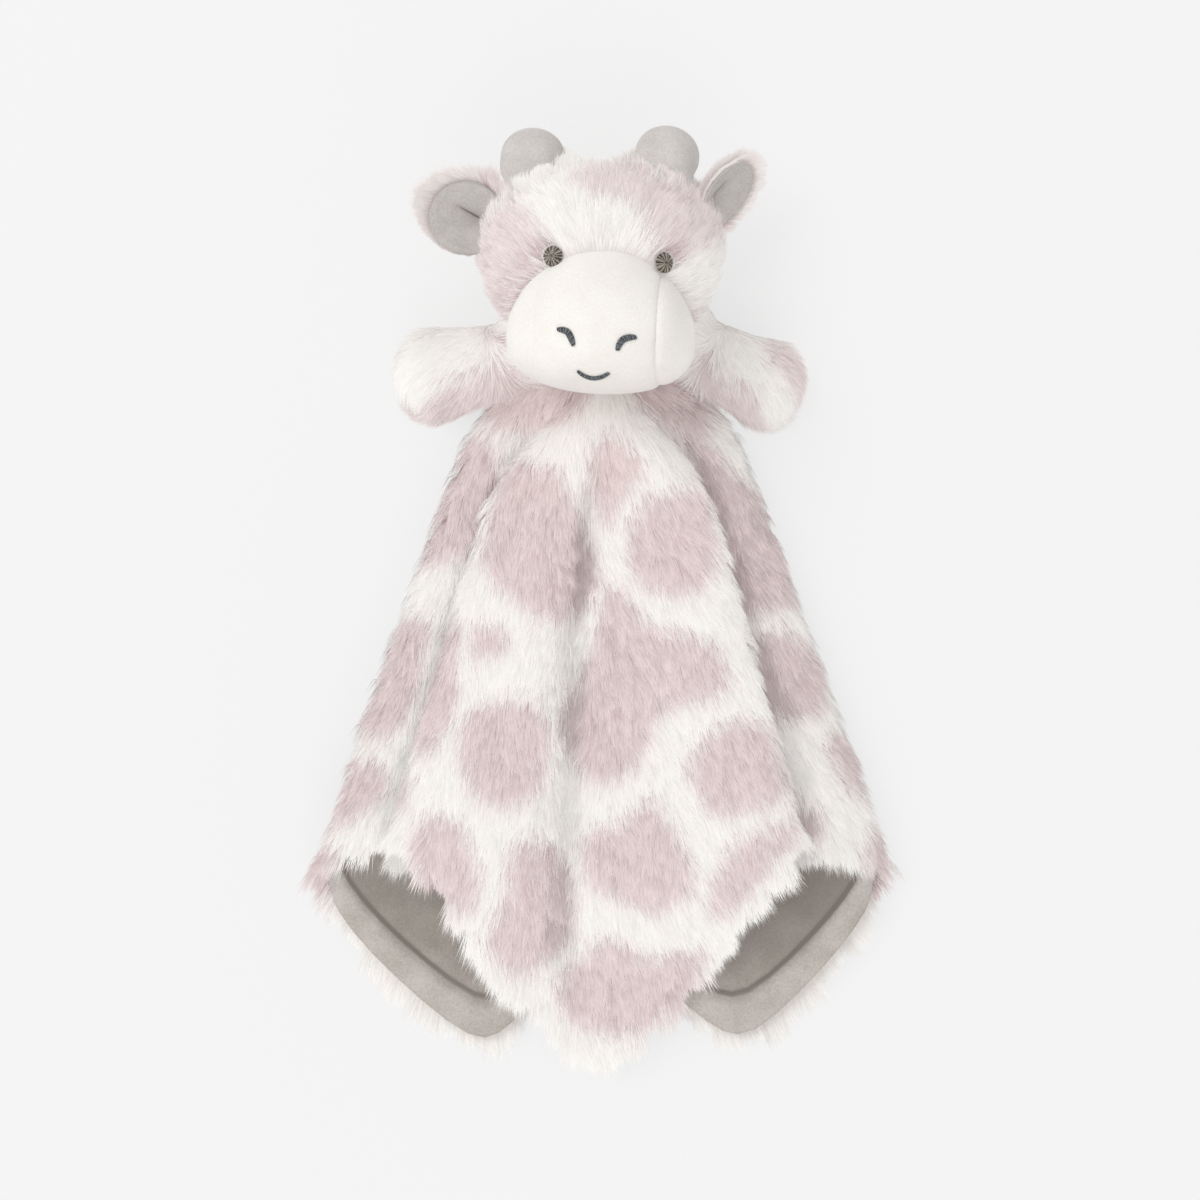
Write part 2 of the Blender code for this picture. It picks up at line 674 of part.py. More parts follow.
ball_place = Matrix.Translation(HEAD_CENTRE)
muzzle_centre = HEAD_CENTRE + Vector((0, -MUZZLE_BELOW, MUZZLE_FORWARD))
muzzle_turn = Matrix.Rotation(math.radians(MUZZLE_TURN), 4, "Y")
muzzle_tilt = Matrix.Rotation(math.radians(MUZZLE_TILT), 4, "Z")
muzzle_place = Matrix.Translation(muzzle_centre) @ muzzle_tilt @ muzzle_turn

blanket_root = add_joint("blanket_root", (0, 0, 0))
head_turn = add_joint("head_joint", HEAD_CENTRE)
make_blanket(blanket_root)
make_head(head_turn)
make_muzzle(head_turn)
make_eyes(head_turn)
make_nose_and_mouth(head_turn)
make_horns(head_turn)
make_ears(head_turn)
make_arms()
bpy.context.view_layer.update()
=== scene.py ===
import itertools
import json
import math

import bpy
import numpy as np
from mathutils import Matrix, Vector

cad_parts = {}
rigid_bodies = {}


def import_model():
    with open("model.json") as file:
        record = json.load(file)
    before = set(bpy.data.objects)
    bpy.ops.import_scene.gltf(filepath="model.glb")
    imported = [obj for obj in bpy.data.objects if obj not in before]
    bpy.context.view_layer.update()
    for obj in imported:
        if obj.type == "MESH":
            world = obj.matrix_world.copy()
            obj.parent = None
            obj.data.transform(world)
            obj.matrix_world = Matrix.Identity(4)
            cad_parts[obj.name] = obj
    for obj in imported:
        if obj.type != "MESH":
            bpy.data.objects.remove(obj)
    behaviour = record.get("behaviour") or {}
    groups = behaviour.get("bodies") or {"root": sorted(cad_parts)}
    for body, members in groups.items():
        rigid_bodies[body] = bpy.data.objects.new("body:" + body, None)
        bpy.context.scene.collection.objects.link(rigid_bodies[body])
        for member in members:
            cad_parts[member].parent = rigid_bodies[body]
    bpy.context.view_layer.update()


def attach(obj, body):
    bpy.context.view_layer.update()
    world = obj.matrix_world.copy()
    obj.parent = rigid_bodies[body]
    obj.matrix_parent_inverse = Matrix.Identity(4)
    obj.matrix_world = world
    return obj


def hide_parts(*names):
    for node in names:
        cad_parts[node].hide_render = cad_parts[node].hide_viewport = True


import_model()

# Table, light and camera: a matt off-white table under an even white studio dome, with one large
# soft lamp at the upper left and a second below the blanket. The camera looks straight down.
CAMERA_PLACE = (-0.0006, -0.0024, 2.2)
VIEW_WIDTH = 0.462
SENSOR_MM = 36
TABLE_REACH = 4.0
DOME_STRENGTH = 0.72
# Each lamp's place, the side of its square and its power
LAMPS = {"key_softbox": ((-1.4, 1.0, 2.1), 1.4, 21), "fill_softbox": ((0.3, -1.9, 1.6), 2.2, 12)}
TABLE_COLOUR = "f4f4f4"
TABLE_GLOW_SHARE = 0.7


def linear(hex_colour):
    """An sRGB hex colour as linear RGBA."""
    levels = [int(hex_colour[i : i + 2], 16) / 255 for i in (0, 2, 4)]
    return [v / 12.92 if v <= 0.04045 else ((v + 0.055) / 1.055) ** 2.4 for v in levels] + [1]


def add_node(tree, kind, settings=None, inputs=None):
    """A shader node with its own settings; each input takes a value, or the output linked to it."""
    node = tree.nodes.new("ShaderNode" + kind)
    for name, value in (settings or {}).items():
        setattr(node, name, value)
    for socket, value in (inputs or {}).items():
        if isinstance(value, bpy.types.NodeSocket):
            tree.links.new(value, node.inputs[socket])
        else:
            node.inputs[socket].default_value = value
    return node


def new_material(name):
    """An empty material and its node tree."""
    material = bpy.data.materials.new(name)
    material.use_nodes = True
    material.node_tree.nodes.clear()
    return material, material.node_tree


def add_mix(tree, share, low, high):
    """The colour at a share of the way from low to high, each a hex colour or a node's output."""
    ends = [linear(colour) if isinstance(colour, str) else colour for colour in (low, high)]
    return add_node(tree, "Mix", {"data_type": "RGBA"}, {0: share, 6: ends[0], 7: ends[1]}).outputs[2]


def add_noise(tree, vector, scale, detail=2):
    """Noise of that many waves to the metre."""
    noise = add_node(tree, "TexNoise", inputs={"Vector": vector, "Scale": scale, "Detail": detail})
    return noise.outputs["Fac"]


def add_surface(tree, inputs):
    """The material's surface: a Principled shader with these inputs."""
    shader = add_node(tree, "BsdfPrincipled", inputs=inputs)
    add_node(tree, "OutputMaterial", inputs={"Surface": shader.outputs[0]})


for old in [o for o in bpy.data.objects if o.type in ("CAMERA", "LIGHT") or o.name == "Cube"]:
    bpy.data.objects.remove(old)
scene = bpy.context.scene
scene.view_settings.view_transform = "Standard"

camera = bpy.data.objects.new("camera", bpy.data.cameras.new("camera"))
camera.location = CAMERA_PLACE
camera.data.sensor_width = SENSOR_MM
camera.data.lens = SENSOR_MM * CAMERA_PLACE[2] / VIEW_WIDTH
scene.collection.objects.link(camera)
scene.camera = camera

for name, (place, size, watts) in LAMPS.items():
    lamp = bpy.data.objects.new(name, bpy.data.lights.new(name, "AREA"))
    lamp.data.size = size
    lamp.data.energy = watts
    lamp.location = place
    lamp.rotation_euler = (-Vector(place)).to_track_quat("-Z", "Y").to_euler()
    scene.collection.objects.link(lamp)

world = bpy.data.worlds.new("studio dome")
world.use_nodes = True
world.node_tree.nodes["Background"].inputs["Color"].default_value = linear("ffffff")
world.node_tree.nodes["Background"].inputs["Strength"].default_value = DOME_STRENGTH
scene.world = world

table_mesh = bpy.data.meshes.new("table")
reach = TABLE_REACH
table_mesh.from_pydata([(-reach, -reach, 0), (reach, -reach, 0), (reach, reach, 0), (-reach, reach, 0)],
                       [], [(0, 1, 2, 3)])
table = bpy.data.objects.new("table", table_mesh)
scene.collection.objects.link(table)
# The photograph's background is evened out: what the camera sees of the table is partly a flat tone
# and partly the board itself, which keeps the toy's soft shadow
material, tree = new_material("matt painted board")
paint = add_node(tree, "BsdfDiffuse", inputs={"Color": linear(TABLE_COLOUR)})
flat_tone = add_node(tree, "Emission", inputs={"Color": linear(TABLE_COLOUR)})
seen = add_node(tree, "LightPath").outputs["Is Camera Ray"]
evened = add_node(tree, "Math", {"operation": "MULTIPLY"}, {0: seen, 1: TABLE_GLOW_SHARE})
mixed = add_node(tree, "MixShader", inputs={
    0: evened.outputs[0], 1: paint.outputs[0], 2: flat_tone.outputs[0]})
add_node(tree, "OutputMaterial", inputs={"Surface": mixed.outputs[0]})
table_mesh.materials.append(material)

# The blanket's two cloths: a 381 mm square of long-pile plush outside and one of short-pile grey
# velboa inside, sewn round the hem, turned and topstitched. They hang in pleats from the neck.
FUR_CLOTH = 0.0015
VELBOA = 0.001
CLEARANCE = 0.0003
LYING_FLAT = 0.0005
BLANKET_SIDE = 0.381
FOLD_PITCH = 0.0065
SHOULDER_START = 0.03
SHOULDER_RUN = 0.04
GATHER_REACH = 0.07
LAYER_REACH = 0.045
GATHER_RISE = 0.022
LOFT_REACH = 0.12
DROOP_START = 0.185
DROOP_RUN = 0.08
BOTTOM_LAYER_SHARE = 0.25
SHOULDER_SPREAD_SHARE = 0.9
SKIRT_SPREAD_SHARE = 0.36
FIRST_LOFT_SHARE = 0.85
DROOP_SHARE = 0.62
CORNER_POWER = 24
PATH_STEPS = 120
PRESSED_PILE = 0.0012
PRESSED_REACH = 0.008
HEAD_RADIUS = 0.04
HEAD_HALF_HEIGHT = 0.036
HEAD_CENTRE = np.array((0, 0.124, HEAD_RADIUS - LYING_FLAT))

# Each ray of the square in degrees from the front corner, and where the pleats lay it: its share of
# the half width, its layer, and its share of the length that is left
FOLD_SHARES = (
    (0, 0, 5.35, 1.022), (5, 0.15, 4.5, 1.02), (10, 0.33, 5.6, 1.015), (15, 0.45, 5.7, 1.01),
    (21, 0.57, 5.4, 1), (26, 0.7, 5.38, 1), (30, 0.77, 4.85, 1), (34, 0.7, 4.35, 1),
    (44, 0.42, 4.33, 1), (48.5, 0.33, 3.75, 1), (53, 0.42, 3.17, 1), (65, 0.86, 3.15, 1.03),
    (69, 0.96, 3.05, 1.06), (73.5, 1, 2.6, 1.1), (78, 0.95, 2.15, 1.1), (90, 0.37, 2.13, 1.06),
    (99, 0.13, 2.13, 1.03), (103.5, 0.06, 1.55, 1), (108, 0.13, 1, 1), (136, 0.89, 0.98, 1),
    (141, 0.945, 0.6, 1), (146, 0.89, 0.25, 1), (180, 0, 0.25, 0.96), (214, -0.89, 0.25, 1),
    (219, -0.945, 0.6, 1), (224, -0.89, 0.98, 1), (252, -0.13, 1, 1), (256.5, -0.06, 1.55, 1),
    (261, -0.13, 2.13, 1.03), (270, -0.434, 2.13, 1.06), (282, -0.95, 2.15, 1.1),
    (286.5, -1, 2.6, 1.08), (291, -0.95, 3.05, 1.055), (295, -0.85, 3.15, 1.03),
    (307, -0.45, 3.15, 1), (311.5, -0.36, 3.75, 1), (316, -0.45, 4.33, 1), (326, -0.68, 4.35, 1),
    (330, -0.735, 4.9, 1), (334, -0.68, 5.45, 1), (340, -0.55, 5.7, 1), (346, -0.42, 5.75, 1.01),
    (351, -0.28, 5.65, 1.015), (356, -0.1, 5.5, 1.02),
)
SAMPLES_A_ROW = 8
FIRST_RING_SHARE = 0.03
PLUSH_ROWS = 64
LINING_ROWS = 56
BORDER_ROWS = 22
# The lining's border: a row of topstitches in a shallow channel, this share of the way to the hem
STITCH_SHARE = 0.9554
CHANNEL_WIDTH_SHARE = 0.0075
CHANNEL_DEPTH = 0.0013
BORDER_RUN_SHARE = 0.05
ROLL_EDGE_SHARE = 0.008
GROOVE_POWER = 6
HEM_ROLL = 0.0011
PUCKER = 0.00025
PUCKER_PITCH = 0.0052
STITCH_STEPS = 5
# How far a stitch rises in its middle, in radii of its thread, and how much thinner its ends are
STITCH_RISE = 0.8
STITCH_TAPER = 0.45
STITCH_PITCH = 0.0042
STITCH_LENGTH = 0.003
THREAD_RADIUS = 0.00024
KNIT_SCALE = 900
SMALLEST = 1e-12
GOLDEN_TURN = 0.618034
# Painted shade on the lining: its colour darkens from the corners of the blanket towards the flap, for the
# flap's shade, and more on the right
LINING_SHADE = 0.55
LINING_SHADE_START = -0.175
LINING_SHADE_RUN = 0.07
RIGHT_SHADE_SHARE = 1.4


def smoothstep(value):
    """0 below 0, 1 above 1, and a smooth S between."""
    value = np.clip(value, 0, 1)
    return value * value * (3 - 2 * value)


def unit(vectors):
    """Each vector over its length."""
    return vectors / np.maximum(np.linalg.norm(vectors, axis=-1, keepdims=True), SMALLEST)


def head_seat(latitude, longitude, standoff):
    """A point standoff outside the head's ball, and the outward direction there. Latitude climbs to
    the crown, and longitude turns from the face (0) to the right (90)."""
    up, turn = math.radians(latitude), math.radians(longitude)
    direction = np.array((math.cos(up) * math.sin(turn), math.sin(up), math.cos(up) * math.cos(turn)))
    size = np.array((HEAD_RADIUS, HEAD_HALF_HEIGHT, HEAD_RADIUS))
    outward = unit(direction / size)
    return HEAD_CENTRE + direction * size + outward * standoff, outward


def fold_rays(samples_a_row):
    """Columns of FOLD_SHARES along a smooth closed ring that never overshoots a row: each row's slope
    is the harmonic mean of the steps beside it, and nothing where they turn back."""
    rows = np.array(FOLD_SHARES, float)
    following = np.r_[rows[1:], rows[:1] + np.array((360, 0, 0, 0))]
    ahead = following - rows
    behind = np.roll(ahead, 1, axis=0)
    same_way = ahead * behind > 0
    slope = np.where(same_way, 2 * ahead * behind / np.where(same_way, ahead + behind, 1), 0)
    slope_on = np.roll(slope, -1, axis=0)
    part = (np.arange(samples_a_row) / samples_a_row)[:, None, None]
    bend = part * (1 - part) * ((1 - part) * (slope - ahead) - part * (slope_on - ahead))
    rays = (rows + part * ahead + bend).transpose(1, 0, 2).reshape(-1, 4).T
    return np.r_[np.radians(rays[:1]), rays[1:]]


def hem_distance(angle):
    """From the blanket's centre to its hem: a square whose corners are turned round."""
    across, along = np.abs(np.cos(angle - math.pi / 4)), np.abs(np.sin(angle - math.pi / 4))
    return BLANKET_SIDE / 2 / (across**CORNER_POWER + along**CORNER_POWER) ** (1 / CORNER_POWER)


def half_width(distance):
    """Half the folded width, growing fast over the shoulders and then steadily to the hem."""
    change = smoothstep((distance - SHOULDER_START) / SHOULDER_RUN)
    slope = SHOULDER_SPREAD_SHARE + (SKIRT_SPREAD_SHARE - SHOULDER_SPREAD_SHARE) * change
    return np.cumsum(slope * np.diff(distance, axis=0, prepend=0), axis=0)


def drape(samples_a_row):
    """The draped blanket's middle surface as angles and points [step from the centre, angle]. Each
    ray leaves the centre on a flattened cone, parts into its layer and is gathered into its fold;
    what it doesn't spend on going sideways or down, it spends on going along -Y."""
    angle, width_share, layer_share, length_share = fold_rays(samples_a_row)[:, None, :]
    path = np.linspace(0, 1, PATH_STEPS + 1)[:, None] * hem_distance(angle)
    across = np.sin(angle) + (width_share - np.sin(angle)) * smoothstep(path / GATHER_REACH)
    x = -across * half_width(path)
    loft = FIRST_LOFT_SHARE + (1 - FIRST_LOFT_SHARE) * smoothstep(path / LOFT_REACH)
    loft = loft * (1 - DROOP_SHARE * smoothstep((path - DROOP_START) / DROOP_RUN))
    floor_height = FUR_CLOTH + CLEARANCE / 2 - LYING_FLAT
    folded = floor_height + (layer_share - BOTTOM_LAYER_SHARE) * FOLD_PITCH * loft
    top = max(row[2] for row in FOLD_SHARES) * FOLD_PITCH * FIRST_LOFT_SHARE
    cone = floor_height + (top - floor_height) * (1 + np.cos(angle)) / 2
    neck = head_seat(-72, 180, CLEARANCE + FUR_CLOTH + CLEARANCE / 2)[0]
    near = np.exp(-path / GATHER_RISE)
    spread = neck[2] * near + cone * (1 - near)
    z = spread + (folded - spread) * smoothstep(path / LAYER_REACH)
    steps = np.diff(path, axis=0, prepend=0)
    sideways, upward = np.diff(x, axis=0, prepend=0), np.diff(z, axis=0, prepend=neck[2])
    left_over = np.maximum(steps**2 - sideways**2 - upward**2, steps**2 / PATH_STEPS)
    y = neck[1] - np.cumsum(np.sqrt(left_over), axis=0) * length_share
    z = z + PRESSED_PILE * np.exp(-z / PRESSED_REACH)
    return angle[0], np.stack((x, y, z), axis=-1)


def outward(grid):
    """Unit normals of a grid of points whose columns close into a ring: the step to the next column
    crossed with the step to the next row."""
    ringed = np.concatenate((grid[:, -1:], grid, grid[:, :1]), axis=1)
    across = np.gradient(ringed, axis=1)[:, 1:-1]
    return unit(np.cross(across, np.gradient(grid, axis=0)))


def between(grid, row, column):
    """Values of grid at fractional rows and columns, in straight lines; columns close into a ring."""
    low = np.clip(np.floor(row).astype(int), 0, len(grid) - 2)
    left = np.floor(column).astype(int)
    part, side = (row - low)[..., None], (column - left)[..., None]
    left, right = left % grid.shape[1], (left + 1) % grid.shape[1]
    near = grid[low, left] * (1 - side) + grid[low, right] * side
    far = grid[low + 1, left] * (1 - side) + grid[low + 1, right] * side
    return near * (1 - part) + far * part


def add_piece(name, points, faces, material, body, uv=None):
    """A smooth mesh from points and arrays of faces, with the same arrays of face corners in uv."""
    mesh = bpy.data.meshes.new(name)
    corners = np.concatenate([group.ravel() for group in faces])
    sides = np.concatenate([np.full(len(group), group.shape[1]) for group in faces])
    mesh.vertices.add(len(points))
    mesh.vertices.foreach_set("co", np.asarray(points, np.float32).ravel())
    mesh.loops.add(len(corners))
    mesh.loops.foreach_set("vertex_index", corners.astype(np.int32))
    mesh.polygons.add(len(sides))
    mesh.polygons.foreach_set("loop_start", (np.cumsum(sides) - sides).astype(np.int32))
    mesh.update(calc_edges=True)
    mesh.polygons.foreach_set("use_smooth", np.ones(len(sides), bool))
    if uv is not None:
        flat = np.concatenate([group.reshape(-1, 2) for group in uv])
        mesh.uv_layers.new(name="OFBake").data.foreach_set("uv", flat.astype(np.float32).ravel())
    mesh.materials.append(material)
    piece = bpy.data.objects.new(name, mesh)
    scene.collection.objects.link(piece)
    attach(piece, body)
    return piece


def set_attribute(piece, name, values):
    """A number, or a vector of three, for each point of the piece."""
    kind, field = ("FLOAT_VECTOR", "vector") if np.ndim(values) > 1 else ("FLOAT", "value")
    attribute = piece.data.attributes.new(name, kind, "POINT")
    attribute.data.foreach_set(field, np.asarray(values, np.float32).ravel())


def add_skin(name, rows, material, body, ends=None):
    """A closed skin: four-sided faces over rows of points that each close into a ring, and a fan to
    each of the two ends, which are the middles of the first and last row unless they are given. Its
    UV map unrolls it, turn by row."""
    start, end = (rows[0].mean(0), rows[-1].mean(0)) if ends is None else ends
    count, columns = rows.shape[:2]
    row, column = np.meshgrid(np.arange(count - 1), np.arange(columns), indexing="ij")
    row, column = row.ravel()[:, None], column.ravel()[:, None]
    corner_rows, corner_columns = row + np.array((0, 0, 1, 1)), column + np.array((0, 1, 1, 0))
    quads = corner_rows * columns + corner_columns % columns
    quad_uv = np.stack((corner_columns / columns, (corner_rows + 1) / (count + 1)), axis=-1)
    ring = np.arange(columns)
    following, last_row = (ring + 1) % columns, (count - 1) * columns
    first, last = np.full(columns, count * columns), np.full(columns, count * columns + 1)
    fans = np.r_[np.c_[first, following, ring], np.c_[last, ring + last_row, following + last_row]]
    half, left, right = (ring + 0.5) / columns, ring / columns, (ring + 1) / columns
    level = np.ones(columns) / (count + 1)
    start_uv = np.stack((np.c_[half, 0 * level], np.c_[right, level], np.c_[left, level]), 1)
    end_uv = np.stack((np.c_[half, 1 + 0 * level], np.c_[left, 1 - level], np.c_[right, 1 - level]), 1)
    points = np.r_[rows.reshape(-1, 3), [start], [end]]
    return add_piece(name, points, (quads, fans), material, body, (quad_uv, np.r_[start_uv, end_uv]))


def add_threads(name, paths, out, radius, material, body, sides=6):
    """Many short threads: each path's points carry a ring across its direction, drawn in to a point
    at both ends. out faces away from the cloth, and attribute thread gives each one its own tone."""
    count, steps = paths.shape[:2]
    along = unit(np.gradient(paths, axis=1))
    side = unit(np.cross(along, out))
    up = np.cross(side, along)
    turn = np.linspace(0, 2 * math.pi, sides, endpoint=False)[:, None]
    rings = paths[:, :, None] + radius[..., None, None] * (
        side[:, :, None] * np.cos(turn) + up[:, :, None] * np.sin(turn))
    points = np.concatenate((rings.reshape(count, -1, 3), paths[:, :1], paths[:, -1:]), axis=1)
    thread_tone = np.repeat(np.arange(count) * GOLDEN_TURN % 1, points.shape[1])
    first = (np.arange(count) * (steps * sides + 2))[:, None, None]
    row, column = np.meshgrid(np.arange(steps - 1), np.arange(sides), indexing="ij")
    following = (column + 1) % sides
    quads = np.stack((row * sides + column, (row + 1) * sides + column,
                      (row + 1) * sides + following, row * sides + following), -1).reshape(-1, 4)
    ring = np.arange(sides)
    after, last = (ring + 1) % sides, (steps - 1) * sides
    fans = np.r_[np.c_[np.full(sides, steps * sides), ring, after],
                 np.c_[np.full(sides, steps * sides + 1), last + after, last + ring]]
    faces = ((first + quads).reshape(-1, 4), (first + fans).reshape(-1, 3))
    piece = add_piece(name, points.reshape(-1, 3), faces, material, body)
    set_attribute(piece, "thread", thread_tone)
    return piece


def short_pile(name, lit, shaded, patch, grain, border=None):
    """Velboa: knitted polyester with a shorn pile about 1 mm deep. It is matt, catches light at its
    edges, and shows patches where the nap lies differently, and a fine grain. On the border's roll
    the nap lies the other way, and border gives its two colours and a colour of painted shade:
    attribute border is 1 there, and below 0 it mixes in the painted shade, which darkens the
    stitched groove and the lining under the flap."""
    material, tree = new_material(name)
    place = add_node(tree, "TexCoord").outputs["Object"]
    patches, fine = add_noise(tree, place, 1 / patch, 3), add_noise(tree, place, 1 / grain)
    both = add_node(tree, "Math", {"operation": "MULTIPLY_ADD"}, {0: fine, 1: 0.9, 2: patches})
    share = add_node(tree, "MapRange", inputs={"Value": both.outputs[0], "From Min": 0.7, "From Max": 1.2})
    colour = add_mix(tree, share.outputs[0], shaded, lit)
    if border:
        where = add_node(tree, "Attribute", {"attribute_name": "border"}).outputs["Fac"]
        colour = add_mix(tree, where, colour, add_mix(tree, share.outputs[0], border[1], border[0]))
        # Below 0 the attribute mixes in the painted shade colour
        depth = add_node(tree, "Math", {"operation": "MULTIPLY", "use_clamp": True}, {0: where, 1: -1.0})
        colour = add_mix(tree, depth.outputs[0], colour, border[2])
    relief = add_node(tree, "Bump", inputs={"Strength": 0.5, "Distance": grain / 2, "Height": fine})
    add_surface(tree, {"Base Color": colour, "Roughness": 0.92, "Specular IOR Level": 0.2,
                       "Sheen Weight": 0.3, "Sheen Roughness": 0.4, "Normal": relief.outputs[0]})
    return material


# The inside is darker than the border, where the nap lies the other way, and partly as painted shade under
# the flap; the third border colour is painted shade for the stitched groove and the flap
grey_lining = short_pile("grey velboa lining", "bbb3ac", "a19992", 0.012, 0.0009,
                         border=("c9c2bc", "b1aaa3", "7d756e"))

# Polyester sewing thread: smooth twisted filament with a soft shine
grey_thread, tree = new_material("grey polyester thread")
add_surface(tree, {"Base Color": linear("8b8580"), "Roughness": 0.5, "Sheen Weight": 0.2})

# Knitted backing of the plush, seen only between its locks: dull, and a little darker than the pile
plush_backing, tree = new_material("knitted plush backing")
knit = add_noise(tree, add_node(tree, "TexCoord").outputs["Object"], KNIT_SCALE)
spots = add_node(tree, "Attribute", {"attribute_name": "pile"})
split = add_node(tree, "SeparateXYZ", inputs={0: spots.outputs["Vector"]})
colour = add_mix(tree, split.outputs[0], add_mix(tree, knit, "d9d3cf", "ece7e3"),
                 add_mix(tree, knit, "a58c92", "b8a0a5"))
add_surface(tree, {"Base Color": colour, "Roughness": 0.95})

ray_angle, drape_field = drape(SAMPLES_A_ROW)
drape_out = outward(drape_field)
drape_along = unit(np.gradient(drape_field, axis=0))
nearest_hem = BLANKET_SIDE / 2 / hem_distance(ray_angle)[None, :]


def on_drape(row, column):
    """The drape's middle surface and its outward directions at fractional rows and columns."""
    return between(drape_field, row, column), between(drape_out, row, column)


def cloth_middle(shares):
    """The same for rings of the cloth that are round near the centre and square at the hem."""
    rows = shares[:, None] * (nearest_hem + (1 - nearest_hem) * shares[:, None]) * PATH_STEPS
    return on_drape(rows, np.arange(len(ray_angle)) + 0 * rows)


# The plush cloth, outside of the middle surface
middle, out = cloth_middle(np.linspace(FIRST_RING_SHARE, 1, PLUSH_ROWS))
far_side = middle + out * (CLEARANCE / 2 + FUR_CLOTH)
near_side = middle + out * CLEARANCE / 2
plush_grid = np.concatenate((far_side, near_side[::-1]))
plush_grid[..., 2] = np.maximum(plush_grid[..., 2], CLEARANCE / 2)
plush_cloth = add_skin("blanket_plush_cloth", plush_grid, plush_backing, "blanket")
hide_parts("blanket_fur_panel")

# The lining, inside of it, with its stitched border
fine_border = np.linspace(STITCH_SHARE - 4 * CHANNEL_WIDTH_SHARE, 1, BORDER_ROWS)
shares = np.r_[np.linspace(FIRST_RING_SHARE, fine_border[0], LINING_ROWS)[:-1], fine_border]
middle, out = cloth_middle(shares)
past_stitch = shares - STITCH_SHARE
channel = np.exp(-((past_stitch / CHANNEL_WIDTH_SHARE) ** 2))[:, None]
border = smoothstep(past_stitch / BORDER_RUN_SHARE + 1)[:, None]
roll = np.where(past_stitch > 0, np.sin(math.pi * past_stitch / (1 - STITCH_SHARE)), 0)[:, None]
along_hem = np.tan((ray_angle + math.pi / 4) % (math.pi / 2) - math.pi / 4) * BLANKET_SIDE / 2
pucker = np.sin(along_hem[None, :] * 2 * math.pi / PUCKER_PITCH) * PUCKER * border * (1 - channel)
thick = np.maximum(VELBOA + HEM_ROLL * roll - CHANNEL_DEPTH * channel + pucker, CLEARANCE)
facing = middle - out * (CLEARANCE / 2 + thick)[..., None]
backing = middle - out * CLEARANCE / 2
lining_grid = np.concatenate((backing, facing[::-1]))
lining_grid[..., 2] = np.maximum(lining_grid[..., 2], CLEARANCE / 2)
lining = add_skin("blanket_lining_cloth", lining_grid, grey_lining, "blanket")
# Attribute border: 1 on the border's roll, where the nap lies the other way, and below 0 for painted shade in
# the stitched groove and on the lining under the flap
border_and_painted_shade = smoothstep(past_stitch / ROLL_EDGE_SHARE + 0.5)[:, None] * (1 - channel) - channel**GROOVE_POWER
# Painted shade: the lining's colour darkens towards the flap, more on the right, for the flap's shade
flap_painted_shade = smoothstep((middle[..., 1] - LINING_SHADE_START) / LINING_SHADE_RUN)
flap_painted_shade = flap_painted_shade * LINING_SHADE * np.where(middle[..., 0] > 0, RIGHT_SHADE_SHARE, 1)
border_and_painted_shade = border_and_painted_shade - flap_painted_shade * (1 - smoothstep(border_and_painted_shade))
set_attribute(lining, "border", np.r_[np.concatenate((border_and_painted_shade, border_and_painted_shade[::-1])).ravel(), 0, 0])
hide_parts("blanket_lining")

# Its topstitches: one thread each, from needle hole to needle hole
side_reach = STITCH_SHARE * BLANKET_SIDE / 2
places = np.arange(-side_reach, side_reach - STITCH_LENGTH, STITCH_PITCH)
steps = np.linspace(0, 1, STITCH_STEPS)
on_side = places[:, None] + steps * STITCH_LENGTH
angles = np.concatenate([np.arctan2(on_side, side_reach) + quarter * math.pi / 2 + math.pi / 4
                         for quarter in range(4)]) % (2 * math.pi)
column = np.interp(angles, np.r_[ray_angle, 2 * math.pi], np.arange(len(ray_angle) + 1))
row = np.full(angles.shape, STITCH_SHARE * PATH_STEPS)
middle, out = on_drape(row, column)
arch = np.sin(math.pi * steps)
sunk = max(VELBOA - CHANNEL_DEPTH, CLEARANCE)
paths = middle - out * (CLEARANCE / 2 + sunk + STITCH_RISE * THREAD_RADIUS * arch[:, None])
paths[..., 2] = np.maximum(paths[..., 2], 2 * THREAD_RADIUS)
radius = THREAD_RADIUS * (1 - STITCH_TAPER * (1 - arch)) + 0 * angles
add_threads("blanket_lining_topstitch", paths, -out, radius, grey_thread, "blanket")

# The blanket's pile: dusty pink spots printed on white polyester plush, 11 mm long, brushed down
# from the neck and a little to the right. It lies in narrow locks, matt and almost shadowless.
STATIONS = np.array((0, 0.48, 1))
WIDTH_SHARES = np.array((0.9, 0.85))
STRAND_WIDTH = 0.00035
BLANKET_PILE_LENGTH = 0.0112
PILE_FLAT = 5
STEEPEST = 110
TUFT_PITCH = 0.0026
PATCH_PITCH = 0.016
# How far tufts, patches and single strands turn from the lay, in degrees; how unevenly tufts stand up
TUFT_TURN = 6
PATCH_TURN = 7
STRAND_TURN = 8
LIFT_SPREAD = 0.22
BEND_POWER = 1.6
# How far each strand's tip is drawn to its tuft's middle
PULL = 0.2
BLANKET_PULL = 0.24
PULL_SPREAD = 0.12
PULL_MOST = 0.9
PULL_POWER = 1.5
ROLL_REACH = 38
LEAST_WIDTH, MOST_WIDTH = 0.7, 1.25
STRAND_CELL = np.array(((0.2, 0.1), (0.8, 0.1), (0.2, 0.5), (0.8, 0.5), (0.5, 0.92)))
STRAND_TONE_SPREAD = 0.3
TUFT_TONE_SPREAD = 0.2
STRANDS_A_MM2 = 3.95
STRANDS_A_PIECE = 60000
NAP = (0.2, -0.96, -0.05)
SPLAY = 5.5
SPOT_EDGE = 0.0058
SPOT_UNEVEN = 0.0021
SEEN_STATION = 1
